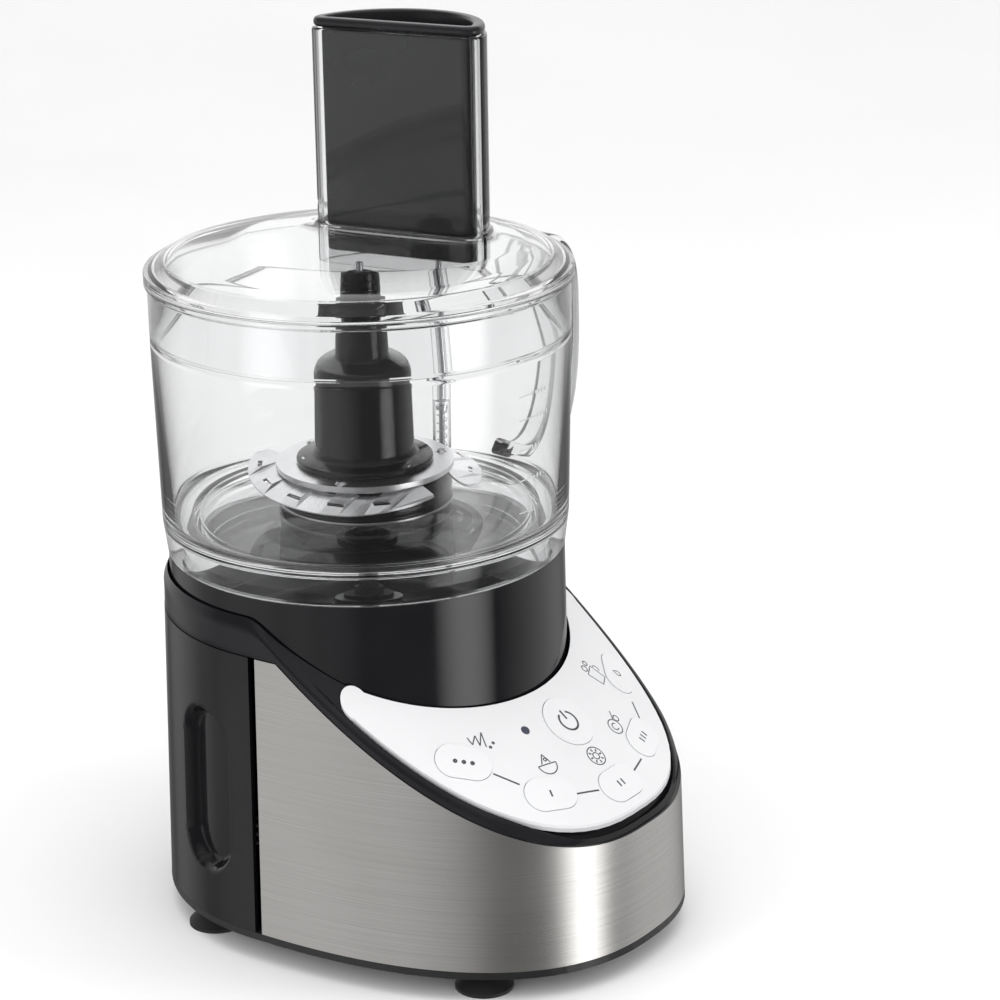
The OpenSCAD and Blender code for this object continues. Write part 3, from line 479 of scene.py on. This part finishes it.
def deck_rim():
    cols = outline_columns(2.0)
    loops = []
    lows = [z_on_wall(t, trim_low) for t in cols]
    tops = [z_on_wall(t, top_of) for t in cols]
    full = []
    for t, zt in zip(cols, tops):
        x, y, _z = wall_point(t, zt)
        full.append((x, y, math.hypot(x, y) - SEAT_R - 0.15))
    edge, last_ring = 1.3, 5.2
    sunk, pocket_depth, pocket_from = 0.9, 3.0, 51

    def row(fn):
        loops.append([fn(i) for i in range(len(cols))])

    def wall(i, z, inset=0.0):
        x, y, _z = wall_point(cols[i], z)
        r = math.hypot(x, y)
        return (x * (r - inset) / r, y * (r - inset) / r, z)

    def step(i, d):
        """The rim stands proud of the field inside it, where there is room for a field."""
        room = min(max((full[i][2] - 8) / 6, 0), 1)
        f = min(max((d - (RIM_W - 0.9)) / 0.8, 0), 1)
        return -sunk * room * f * f * (3 - 2 * f)

    def inward(i, d, dz=0.0):
        x, y, room = full[i]
        d = min(d, room)
        r = math.hypot(x, y)
        px, py = x * (r - d) / r, y * (r - d) / r
        crown = 0.35 * math.sin(math.pi * min(d / RIM_W, 1)) * min(max((room - 8) / 6, 0), 1)
        # the pocket under the panel, where the keys need room
        pocket = (pocket_depth * min(max((-py - pocket_from) / 3, 0), 1)
                  * min(max((d - RIM_W + 0.1) / 0.5, 0), 1))
        return (px, py, top_of(px, py) + dz + step(i, d) + crown - 0.35 - pocket)

    def drawn_in(i, d):
        """The distance d from the wall, made less where the seat comes close to it."""
        return min(d, edge + (full[i][2] - edge) * d / 5.4)

    row(lambda i: wall(i, lows[i], 2.2))
    row(lambda i: wall(i, lows[i], 0.35))
    row(lambda i: wall(i, lows[i] + 0.35, 0.16))
    for f, inset in ((0.3, 0.16), (0.65, 0.14)):
        row(lambda i, f=f, inset=inset: wall(i, lows[i] + (tops[i] - edge - lows[i]) * f, inset))
    for k in range(7):
        a = math.pi / 2 * k / 6
        row(lambda i, a=a: inward(i, edge * (1 - math.cos(a)), -edge * (1 - math.sin(a))))
    for d in (1.8, 2.4, 3.0, 3.6, 4.1, 4.35, 4.6, 4.9, last_ring):
        row(lambda i, d=d: inward(i, drawn_in(i, d)))
    for f in np.linspace(0, 1, 14)[1:]:
        row(lambda i, f=f: inward(i, drawn_in(i, last_ring) + (full[i][2] - drawn_in(i, last_ring)) * f))
    loops.append([(x, y, z - 4) for x, y, z in loops[-1]])
    verts, faces = chain(loops)
    return add_mesh("deck_rim", verts, faces, M["trim"], "base", 50, ("deck_trim",))


deck_rim()


# ---------------------------------------------------------------- bowl


def bowl_piece():
    prof = [(7.1, 12.1), (71, 12.1), (71, -8), (73.4, -8), (73.4, 12.1), (80.7, 12.1), (80.7, 0), (83.1, 0),
            (84.9, 14.5), (86.5, 91.4), (83.6, 93.4), (83.6, 115.5), (81.2, 115.5), (81.2, 93.4),
            (84.1, 90), (82.5, 14.5), (9.5, 14.5), (9.5, 61), (7.1, 61)]
    radii = [0.6, 1, 0.6, 0.6, 1, 1, 0.6, 0.9, 3.0, 1.6, 1.0, 0.8, 0.8, 1.0, 2.0, 4.5, 1.5, 0.8, 0.8]
    prof = [(r, SEAT + z) for r, z in rounded(prof, radii, 5)]
    v, f = revolve(prof, 288)
    add_mesh("bowl_body", v, f, M["clear"], "bowl", 60, ("bowl",))


bowl_piece()


def at_rod(points):
    a = math.radians(11)
    c, s = math.cos(a), math.sin(a)
    return [((78 + x) * c - y * s, (78 + x) * s + y * c, SEAT + z) for x, y, z in points]


def rod_channel():
    """The clear tube moulded inside the bowl wall that guides the lock rod."""
    prof = rounded([(4.1, 15), (4.1, 91), (3.1, 92), (1.4, 92), (1.4, 39), (3, 38), (3, 15)],
                   [0, 0.8, 0.5, 0.4, 0.4, 0.4, 0], 4)
    loops = []
    for r, z in prof:
        t = np.arange(40) * 2 * math.pi / 40
        loops.append(at_rod([(r * math.cos(a), r * math.sin(a), z) for a in t]))
    v, f = chain(loops, closed=True)
    add_mesh("rod_channel", v, f, M["clear"], "bowl", 45)


rod_channel()


def arc_bar(r, a0, a1, z0, z1, thick, steps):
    """A short curved bar on a wall of radius r between two angles in degrees."""
    loops = []
    for k in range(steps + 1):
        a = math.radians(a0 + (a1 - a0) * k / steps)
        c, s = math.cos(a), math.sin(a)
        sec = rounded([(r, z0), (r + thick, z0), (r + thick, z1), (r, z1)], [thick * 0.3] * 4, 2)
        loops.append([(q * c, q * s, SEAT + z) for q, z in sec])
    return chain(loops, cap_start=True, cap_end=True)


def join_parts(name, parts, mat, body, smooth=40, replaces=()):
    verts, faces = [], []
    for v, f in parts:
        k = len(verts)
        verts += list(v)
        faces += [tuple(i + k for i in face) for face in f]
    return add_mesh(name, verts, faces, mat, body, smooth, replaces)


def wall_r(z):
    return 84.9 + (86.5 - 84.9) * (z - 14.5) / (91.4 - 14.5)


MARK_HEIGHTS = (28.8, 42.4, 55.2, 67.6, 77.4)
MARK_AT, MARK_LIFT, MARK_THICK = -97, 0.02, 0.12

ticks = []
for n, z in enumerate(MARK_HEIGHTS):
    long = 7.0 if n in (1, 3) else 4.5
    r = wall_r(z) + MARK_LIFT
    ticks.append(arc_bar(r, MARK_AT, MARK_AT + long, z, z + 0.55, MARK_THICK, 8))
    # short upright bars after the mark count it
    for k in range(n + 1):
        ticks.append(arc_bar(r, -95.4 + long + k * 1.5 - 1, -94.7 + long + k * 1.5 - 1,
                             z - 0.6, z + 1.1, MARK_THICK, 3))
join_parts("measure_marks", ticks, M["mark"], "bowl")


# ---------------------------------------------------------------- D-shaped tube, lid and pusher

D_MID = 17.0


def d_outline(inset, n=360, corner=7.0):
    """The D in plan, about the point D_MID behind its flat side, sampled by angle."""
    r, q = TUBE_R - inset, max(corner - inset, 2)
    cy = math.sqrt((r - q) ** 2 - (inset + q) ** 2)
    turn = math.atan2(cy, inset + q)
    dense = []
    for a in np.linspace(-turn, turn, 400):
        dense.append((r * math.cos(a), r * math.sin(a)))
    for a in np.linspace(turn, math.pi, 80)[1:]:
        dense.append((inset + q + q * math.cos(a), cy + q * math.sin(a)))
    for y in np.linspace(cy, -cy, 200)[1:-1]:
        dense.append((inset, y))
    for a in np.linspace(math.pi, 2 * math.pi - turn, 80)[:-1]:
        dense.append((inset + q + q * math.cos(a), -cy + q * math.sin(a)))
    d = np.array(dense)
    ang = np.unwrap(np.arctan2(d[:, 1], d[:, 0] - D_MID))
    rad = np.hypot(d[:, 0] - D_MID, d[:, 1])
    base = angles(n)
    ang2 = np.r_[ang - 2 * math.pi, ang, ang + 2 * math.pi]
    rr = np.interp(base, ang2, np.r_[rad, rad, rad])
    return D_MID + rr * np.cos(base), rr * np.sin(base)


def angles(n=360):
    """Even angles, with more of them at the two tight corners of the D."""
    t = np.linspace(-math.pi, math.pi, 4000)
    w = 1 + 2.2 * np.exp(-((np.abs(t) - 2.02) / 0.22) ** 2)
    c = np.cumsum(w)
    return np.interp((np.arange(n) + 0.5) / n * c[-1], c, t)


def d_loop(inset, z, n=360):
    x, y = d_outline(inset, n)
    x = x + TUBE_FLAT
    c, s = math.cos(TUBE_TURN), math.sin(TUBE_TURN)
    return np.stack([x * c - y * s, x * s + y * c, np.full(n, SEAT + z)], 1)


def ring_loop(radius, z, n=360):
    """A circle round the bowl axis whose points lie in line with those of the D."""
    a = angles(n) + TUBE_TURN
    ox = (TUBE_FLAT + D_MID) * math.cos(TUBE_TURN)
    oy = (TUBE_FLAT + D_MID) * math.sin(TUBE_TURN)
    dx, dy = np.cos(a), np.sin(a)
    b = ox * dx + oy * dy
    t = -b + np.sqrt(b * b - (ox * ox + oy * oy - radius * radius))
    return np.stack([ox + t * dx, oy + t * dy, np.full(n, SEAT + z)], 1)


def lid_piece():
    loops = []
    top, low = TUBE_TOP, TUBE_LOW
    flat = RIM_Z + CROWN
    for inset, z in rounded([(2.4, low), (2.4, top), (0, top), (0, flat + 1.6)], [0, 0.9, 0.9, 0], 5, False):
        loops.append(d_loop(inset, z))
    for k in range(1, 6):
        a = math.pi / 2 * k / 5
        loops.append(d_loop(-1.6 * (1 - math.cos(a)), flat + 1.6 * (1 - math.sin(a))))
    for f in (0.25, 0.5, 0.75, 1.0):
        a, b = d_loop(-1.6, flat), ring_loop(73.5, flat)
        loops.append(a + (b - a) * f)
    skirt = [(73.5, flat), (80.5, flat - 2), (87.9, 119.5), (87.9, 114.5), (86.5, 113.2), (86.5, 92.8),
             (84.0, 92.8), (84.0, 115.9), (81.2, 115.9), (79.1, flat - 4.2), (73.5, flat - 2.2)]
    radii = [0, 2.2, 1.0, 0.9, 0.9, 0.7, 0.5, 0.6, 0.8, 1.5, 0]
    for r, z in rounded(skirt, radii, 5, False)[1:]:
        loops.append(ring_loop(r, z))
    a, b = ring_loop(73.5, flat - 2.2), d_loop(0, flat - 2.2)
    for f in (0.33, 0.66, 1.0):
        loops.append(a + (b - a) * f)
    for inset, z in rounded([(0, flat - 2.2), (0, low), (2.4, low)], [0, 0.8, 0.8], 4, False)[1:]:
        loops.append(d_loop(inset, z))
    v, f = chain(loops, closed=True)
    add_mesh("lid_and_tube", v, f, M["clear"], "lid", 50, ("lid", "feed_tube"))


lid_piece()


def pusher_piece():
    body, low, top = 4.4, 112.3, 208.5
    outer = [(body + 4, low), (body, low), (body, top + 0.1), (0.8, top + 0.1), (0.8, top + 4.1),
             (body + 1.4, top + 4.1), (body + 2, top - 1), (body + 2, low + 2.2), (body + 6, low + 2.2)]
    radii = [0, 2.2, 0.4, 1.7, 1.9, 1.6, 1.0, 2.0, 0]
    loops = [d_loop(i, z) for i, z in rounded(outer, radii, 6, False)]
    v, f = chain(loops, cap_start=True, cap_end=True)
    add_mesh("pusher_cup", v, f, M["pusher"], "pusher", 50, ("pusher",))


pusher_piece()


# ---------------------------------------------------------------- handle


def spline(points, steps):
    """A Catmull-Rom curve through the points."""
    p = [np.array(q, float) for q in points]
    p = [2 * p[0] - p[1]] + p + [2 * p[-1] - p[-2]]
    out = []
    for i in range(1, len(p) - 2):
        for k in range(steps):
            t = k / steps
            out.append(0.5 * (2 * p[i] + (p[i + 1] - p[i - 1]) * t
                              + (2 * p[i - 1] - 5 * p[i] + 4 * p[i + 1] - p[i + 2]) * t * t
                              + (3 * p[i] - p[i - 1] - 3 * p[i + 1] + p[i + 2]) * t ** 3))
    out.append(p[-2])
    return np.array(out)


def handle_piece():
    """A clear loop, swept along its middle line in the plane that stands 10 degrees off +X."""
    path = spline([(85.3, 83), (90.6, 89), (93.5, 98), (99, 106.5), (107, 108.5), (115, 104.5), (120, 94),
                   (121.2, 76), (120.8, 56), (118, 38), (112.5, 23.5), (104, 14.5), (94, 12.5),
                   (84.9, 17)], 8)
    tang = np.gradient(path, axis=0)
    tang /= np.linalg.norm(tang, axis=1)[:, None]
    a = math.radians(-10)
    c, s = math.cos(a), math.sin(a)
    thick, wide, corner = 4.4, 6.3, 2.6
    sec = rounded([(-thick, -wide), (thick, -wide), (thick, wide), (-thick, wide)], [corner] * 4, 5)
    loops = []
    for p, t in zip(path, tang):
        nx, nz = -t[1], t[0]
        lp = []
        for u, v in sec:
            x, z = p[0] + nx * u, p[1] + nz * u
            lp.append((x * c - v * s, x * s + v * c, SEAT + z))
        loops.append(lp)
    v, f = chain(loops, cap_start=True, cap_end=True)
    add_mesh("bowl_handle", v, f, M["clear"], "bowl", 50, ("handle",))


handle_piece()


# ---------------------------------------------------------------- blades

PLATE_LOW = FLOOR_Z + 16.0
RING_R = 36.2
SWEEP = math.radians(146)
FLARE = 5.4
TIP_R, TIP_MID_R = 6.2, 42.3


def blade_outline(n_arc=60):
    """One sickle in plan, as (radius, angle): round free end, long curved edge, back along the ring."""
    pts = [(TIP_MID_R - TIP_R * math.cos(math.pi * k / 12), -TIP_R * math.sin(math.pi * k / 12) / TIP_MID_R)
           for k in range(13)]
    for k in range(1, n_arc + 1):
        f = k / n_arc
        r = 48.5 + 1.3 * math.sin(min(f * 2.4, 1) * math.pi / 2) - 6.8 * max(f - 0.35, 0) ** 1.7 / 0.65 ** 1.7
        pts.append((r, f * SWEEP))
    pts.append((RING_R, math.radians(144)))
    for k in range(n_arc, -1, -1):
        f = k / n_arc
        pts.append((RING_R - 4.2 * min(f * 8, (1 - f) * 8, 1), f * math.radians(143)))
    return pts


def blade_piece():
    """The pressed plate: two sickles flared down from a flat ring; the first lifts at its free end."""
    bm = bmesh.new()
    for turn in (107.5 + 4, 287.5 + 4):
        outer = [(r, math.radians(turn) + a) for r, a in blade_outline()]
        slots = []
        for k in range(5):
            mid = math.radians(turn) + math.radians(14 + 25 * k)
            r = 44.3 - 0.55 * max(k - 2, 0) ** 1.5
            half_a, half_r = 3.4 / r, 0.95
            slots.append([(r - half_r, mid - half_a), (r + half_r, mid - half_a + 0.012),
                          (r + half_r, mid + half_a + 0.012), (r - half_r, mid + half_a)])
        rings = [outer] + slots
        flat = [[Vector((r * math.cos(a), r * math.sin(a), 0)) for r, a in ring] for ring in rings]
        tris = tessellate_polygon(flat)
        every = [q for ring in rings for q in ring]

        def drop(r, a):
            f = min(max((a - math.radians(turn)) / SWEEP, 0), 1)
            out = min(max((r - RING_R) / 11, 0), 1.15)
            if turn < 200:
                return 2.2 * max(1 - 3 * f, 0) ** 2 * out - FLARE * out * min(max((f - 0.12) / 0.55, 0), 1)
            return -FLARE * out * (1 - 0.75 * f)

        low = [bm.verts.new(P(r * math.cos(a), r * math.sin(a), SEAT + PLATE_LOW + 0.05 + drop(r, a)))
               for r, a in every]
        high = [bm.verts.new(P(r * math.cos(a), r * math.sin(a), SEAT + PLATE_LOW + 1.18 + drop(r, a)
                               - (0.7 if r > 46.5 else 0))) for r, a in every]
        for t in tris:
            bm.faces.new([high[i] for i in t])
            bm.faces.new([low[i] for i in reversed(t)])
        k = 0
        for ring in rings:
            m = len(ring)
            for i in range(m):
                j = (i + 1) % m
                bm.faces.new((low[k + i], low[k + j], high[k + j], high[k + i]))
            k += m
    bmesh.ops.remove_doubles(bm, verts=bm.verts, dist=1e-6)
    bmesh.ops.recalc_face_normals(bm, faces=bm.faces)
    me = bpy.data.meshes.new("sickle_blades")
    bm.to_mesh(me)
    bm.free()
    ob = bpy.data.objects.new("sickle_blades", me)
    bpy.context.scene.collection.objects.link(ob)
    me.materials.append(M["blade"])
    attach(ob, "blade")
    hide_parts("blade_plate")
    prof = rounded([(10.4, PLATE_LOW + 0.05), (35.8, PLATE_LOW + 0.05), (35.8, PLATE_LOW + 1.15),
                    (10.4, PLATE_LOW + 1.15)], [0.1, 0.1, 0.1, 0.1], 3)
    v, f = revolve([(r, SEAT + z) for r, z in prof], 160)
    add_mesh("blade_disc", v, f, M["blade"], "blade", 40)


blade_piece()


def hub_pieces():
    low, top = PLATE_LOW + 3.4, 113.3
    prof = [(10.2, low + 0.02), (28.8, low + 0.02), (28.6, low + 2.4), (22.2, low + 3.8), (20.8, low + 6),
            (19.8, 79.4), (18.7, 81.4), (11.0, 83.4), (10.2, 99.8), (8.5, 100.8), (7.8, 112.2),
            (6.2, top), (1.5, top), (1.5, 107.4), (8.2, 106), (8.2, 62), (10.0, 61)]
    radii = [0.3, 0.9, 1.0, 1.6, 1.5, 1.8, 1.6, 1.4, 0.9, 0.6, 1.2, 0.6, 0.2, 0.2, 0.3, 0.3, 0.3]
    v, f = revolve([(r, SEAT + z) for r, z in rounded(prof, radii, 5)], 160)
    add_mesh("hub_body", v, f, M["gloss"], "blade", 40, ("blade_hub",))
    lo, hi = FLOOR_Z + 2.05, PLATE_LOW
    prof = [(34.2, lo), (36.4, lo), (36.4, lo + 2.6), (36.0, lo + 3.1), (36.4, lo + 3.6), (36.6, hi - 0.02),
            (10.1, hi - 0.02), (10.1, hi - 2.6), (34.2, hi - 2.6)]
    radii = [0.5, 0.7, 0.4, 0.3, 0.4, 0.7, 0.3, 0.3, 1.2]
    v, f = revolve([(r, SEAT + z) for r, z in rounded(prof, radii, 4)], 200)
    add_mesh("drum_body", v, f, M["gloss"], "blade", 40, ("blade_drum",))
    # bright band let into the foot of the drum
    prof = rounded([(36.45, lo + 0.1), (36.95, lo + 0.1), (36.95, lo + 1.5), (36.45, lo + 1.5)],
                   [0.15] * 4, 3)
    v, f = revolve([(r, SEAT + z) for r, z in prof], 200)
    add_mesh("drum_band", v, f, M["plated"], "blade", 40)


hub_pieces()


# ---------------------------------------------------------------- printed marks


def deck_stroke(points, width, lift, height=0.05):
    """A printed line on the deck through (x, s) points, as a thin closed strip."""
    p = np.array(points, float)
    closed = np.hypot(*(p[0] - p[-1])) < 1e-6
    t = np.gradient(p, axis=0)
    if closed:
        t[0] = t[-1] = p[1] - p[-2]
    t /= np.maximum(np.linalg.norm(t, axis=1), 1e-9)[:, None]
    loops = []
    for q, d in zip(p, t):
        nx, ns = -d[1] * width / 2, d[0] * width / 2
        loops.append([on_deck(q[0] - nx, q[1] - ns, lift), on_deck(q[0] + nx, q[1] + ns, lift),
                      on_deck(q[0] + nx, q[1] + ns, lift + height),
                      on_deck(q[0] - nx, q[1] - ns, lift + height)])
    return chain(loops, cap_start=True, cap_end=True)


def arc(cx, cs, r, a0, a1, n=24, flat=1.0):
    return [(cx + r * math.cos(math.radians(a0 + (a1 - a0) * k / n)),
             cs + flat * r * math.sin(math.radians(a0 + (a1 - a0) * k / n))) for k in range(n + 1)]


def line(*pts, n=2):
    out = []
    for a, b in zip(pts, pts[1:]):
        for k in range(n):
            out.append((a[0] + (b[0] - a[0]) * k / n, a[1] + (b[1] - a[1]) * k / n))
    out.append(pts[-1])
    return out


def moved(pts, x, s, turn=0.0):
    c, sn = math.cos(math.radians(turn)), math.sin(math.radians(turn))
    return [(x + u * c - v * sn, s + u * sn + v * c) for u, v in pts]


def prints():
    w, up = 0.5, 0.0
    icons = []

    def add(x, s, turn, *shapes, width=w):
        for sh in shapes:
            icons.append(deck_stroke(moved(sh, x, s, turn), width, up))

    # pulse: a peaked trace with two dots
    add(-44, -4.5, -32, line((-5, 1.6), (-3.2, -1.6)), line((-3.2, -1.6), (-1.4, 2.6)),
        line((-1.4, 2.6), (0, -2)), line((0, -2), (1.6, 4.2)), line((1.6, 4.2), (2.6, -2.6)))
    add(-44, -4.5, -32, arc(4.4, -2.6, 0.45, 0, 360, 10), arc(6.0, -0.6, 0.45, 0, 360, 10), width=0.6)
    # low speed: a bowl with a whisked peak
    add(-25.4, -28, -12, arc(0, 0.4, 4.6, 180, 360), line((-4.6, 0.4), (4.6, 0.4)),
        line((-2.4, 0.9), (0.2, 5.2)), line((0.2, 5.2), (2.2, 0.9)), arc(0.4, 2.6, 0.7, 0, 360, 12))
    # normal speed: a disc with teeth
    add(0, -35.6, 0, arc(0, 0, 4.4, 0, 360), arc(0, 0, 1.6, 0, 360, 16))
    add(0, -35.6, 0, *[line((2.3 * math.cos(a), 2.3 * math.sin(a)), (3.6 * math.cos(a), 3.6 * math.sin(a)))
                       for a in np.arange(8) * math.pi / 4], width=0.7)
    # high speed: a disc and a stick
    add(25.4, -28, 12, arc(-1.6, -0.6, 3.7, 0, 360), arc(-1.6, -0.6, 1.7, 30, 300, 16),
        line((1.4, 2.2), (4.4, 5.4)), arc(3.6, 1.4, 1.5, 0, 360, 16))
    # juice: a jug and fruit
    add(41.6, -5, 28, line((-4, 4), (-3.4, -4), (2.4, -4), (3, 4), (-4, 4)), arc(3.4, 1, 1.9, -70, 80, 12),
        arc(-1.6, 6.3, 1.5, 0, 360, 14), arc(2.2, 6.6, 1.2, 0, 360, 14))
    # dashes between the keys and the notches at the middle
    for a, b in (((-49.5, -18.6), (-43.3, -28.3)), ((-24.3, -44.3), (-13, -48.2)),
                 ((11.6, -49.3), (22.1, -46.4)), ((48.9, -22.6), (43.1, -31.4))):
        icons.append(deck_stroke(line(a, b, n=4), 0.75, up))
    join_parts("panel_print", icons, M["print"], "base", 30)

    top = 0.4
    power = [deck_stroke(moved(arc(0, 0, 4.6, 118, 422), 1.5, -17), 0.95, top),
             deck_stroke(moved(line((0, 1.0), (0, 5.6)), 1.5, -17), 0.95, top)]
    join_parts("power_print", power, M["print"], "power_key", 30)
    for name, x, s, turn, bars in (("pulse", -56.5, -8, -42, 0), ("low", -34.5, -38.5, -22, 1),
                                   ("normal", 0, -50.5, 0, 2), ("high", 34.5, -38.5, 22, 3),
                                   ("juice", 56.5, -8, 42, 4)):
        parts = []
        if bars == 0:
            for u in (-3.6, 0, 3.6):
                parts.append(deck_stroke(moved(arc(u, 0, 0.55, 0, 360, 10), x, s, turn), 0.9, top))
        elif bars == 4:
            drop = [(0, 2.4), (1.0, 0.7), (1.35, -0.5), (0.9, -1.5), (0, -1.9), (-0.9, -1.5), (-1.35, -0.5),
                    (-1.0, 0.7), (0, 2.4)]
            parts.append(deck_stroke(moved(drop, x, s, turn), 0.55, top))
        else:
            for k in range(bars):
                u = (k - (bars - 1) / 2) * 2.6
                parts.append(deck_stroke(moved(line((u, -1.5), (u, 1.5)), x, s, turn), 0.8, top))
        join_parts(name + "_print", parts, M["print"], name + "_key", 30)


prints()


# ---------------------------------------------------------------- stage, lights and camera


# what gloss reflects: soft walls of light, as bearing, height, outer and inner half angle, strength
LOBES = ((148, -14, 38, 8, 0.62), (190, -18, 22, 3, 0.42), (274, -14, 20, 2, 3.8), (335, -14, 38, 8, 0.6),
         (92, 0, 34, 6, 0.7), (37, 26, 52, 16, 1.2), (0, 90, 50, 10, 0.6))
ROOM_LIGHT = 0.18


def studio():
    lo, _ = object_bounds()
    me = bpy.data.meshes.new("floor")
    s = 14.0
    pts, faces = [], []
    rows = [(-s, 0), (1.5, 0)]
    for k in range(1, 13):
        a = math.pi / 2 * k / 12
        rows.append((1.5 + 3 * math.sin(a), 3 * (1 - math.cos(a))))
    rows.append((4.5, 9.0))
    for y, z in rows:
        pts += [(-s, y, z), (s, y, z)]
    for i in range(len(rows) - 1):
        faces.append((2 * i, 2 * i + 1, 2 * i + 3, 2 * i + 2))
    me.from_pydata(pts, [], faces)
    me.shade_smooth()
    floor = bpy.data.objects.new("floor", me)
    bpy.context.scene.collection.objects.link(floor)
    floor.rotation_euler[2] = math.radians(-52.5)
    floor.location = (0, 0, lo.z)
    mat = bpy.data.materials.new("pale_floor")
    nt, b = nodes_of(mat)
    vec = coords(nt)
    nt.links.new(ramp(nt, noise(nt, vec, 3, 2), [(0.3, (0.9, 0.9, 0.9)), (0.7, (0.92, 0.92, 0.92))]),
                 b.inputs["Base Color"])
    b.inputs["Roughness"].default_value = 0.75
    b.inputs["Specular IOR Level"].default_value = 0.2
    me.materials.append(mat)
    floor.visible_glossy = False
    floor.visible_transmission = False
    floor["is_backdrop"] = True

    world = bpy.data.worlds.new("studio")
    bpy.context.scene.world = world
    world.use_nodes = True
    nt = world.node_tree
    bg = nt.nodes["Background"]
    bg.inputs["Color"].default_value = (1, 1, 1, 1)
    bg.inputs["Strength"].default_value = 1.0
    # the camera sees the white world; reflections see a dim room with the lobes in it
    dim = nt.nodes.new("ShaderNodeBackground")
    path = nt.nodes.new("ShaderNodeLightPath")
    mix = nt.nodes.new("ShaderNodeMixShader")
    out = nt.nodes["World Output"]
    tc = nt.nodes.new("ShaderNodeTexCoord")
    total = None
    for az, el, wide, core, gain in LOBES:
        a, e = math.radians(az), math.radians(el)
        dot = nt.nodes.new("ShaderNodeVectorMath")
        dot.operation = "DOT_PRODUCT"
        dot.inputs[1].default_value = (math.cos(a) * math.cos(e), math.sin(a) * math.cos(e), math.sin(e))
        nt.links.new(tc.outputs["Generated"], dot.inputs[0])
        lobe = spread(nt, dot.outputs["Value"], 0.0, gain,
                      math.cos(math.radians(wide)), math.cos(math.radians(core)))
        if total is None:
            total = lobe
        else:
            add = nt.nodes.new("ShaderNodeMath")
            nt.links.new(total, add.inputs[0])
            nt.links.new(lobe, add.inputs[1])
            total = add.outputs[0]
    base = nt.nodes.new("ShaderNodeMath")
    base.inputs[1].default_value = ROOM_LIGHT
    nt.links.new(total, base.inputs[0])
    nt.links.new(base.outputs[0], dim.inputs["Strength"])
    nt.links.new(path.outputs["Glossy Depth"], mix.inputs[0])
    nt.links.new(bg.outputs[0], mix.inputs[1])
    nt.links.new(dim.outputs[0], mix.inputs[2])
    nt.links.new(mix.outputs[0], out.inputs["Surface"])

    def softbox(name, place, look_at, size, power):
        light = bpy.data.lights.new(name, "AREA")
        light.shape = "RECTANGLE"
        light.size, light.size_y = size
        light.energy = power
        ob = bpy.data.objects.new(name, light)
        ob.location = place
        ob.visible_glossy = ob.visible_transmission = False
        ob.rotation_euler = (Vector(look_at) - Vector(place)).to_track_quat("-Z", "Y").to_euler()
        bpy.context.scene.collection.objects.link(ob)

    softbox("overhead", (-0.2, -0.3, 1.9), (0, 0, 0.1), (1.6, 1.6), 10)
    softbox("left_strip", (-1.4, 0.35, 0.55), (0, 0, 0.2), (0.35, 1.3), 5)
    softbox("right_strip", (0.6, -1.5, 0.5), (0, 0, 0.15), (0.3, 1.2), 5)


def camera():
    """A long lens, high on the left of the front, as the object was photographed."""
    data = bpy.data.cameras.new("camera")
    data.sensor_width = 36
    data.lens = 108
    cam = bpy.data.objects.new("camera", data)
    alpha, yaw, pitch, roll = math.radians(52.5), 0.04691, 0.31987, 0.014684
    eye = Vector(P(-946.9, -726.6, 568.3))

    def rot(axis, a):
        return Matrix.Rotation(a, 3, axis)

    # rows of turn are the camera's right, forward and up in the aligned frame
    turn = rot("Y", -roll) @ rot("X", pitch) @ rot("Z", yaw)
    back = Matrix(((math.cos(alpha), math.sin(alpha), 0), (-math.sin(alpha), math.cos(alpha), 0), (0, 0, 1)))
    rows = [back @ Vector(turn[i]) for i in range(3)]
    right, forward, up = rows
    m = Matrix((right, up, -forward)).transposed().to_4x4()
    m.translation = eye
    cam.matrix_world = m
    data.clip_start, data.clip_end = 0.05, 50
    bpy.context.scene.collection.objects.link(cam)
    bpy.context.scene.camera = cam


studio()
camera()
scene = bpy.context.scene
scene.view_settings.view_transform = "Standard"
scene.cycles.max_bounces = 24
scene.cycles.transmission_bounces = 24
scene.cycles.glossy_bounces = 8
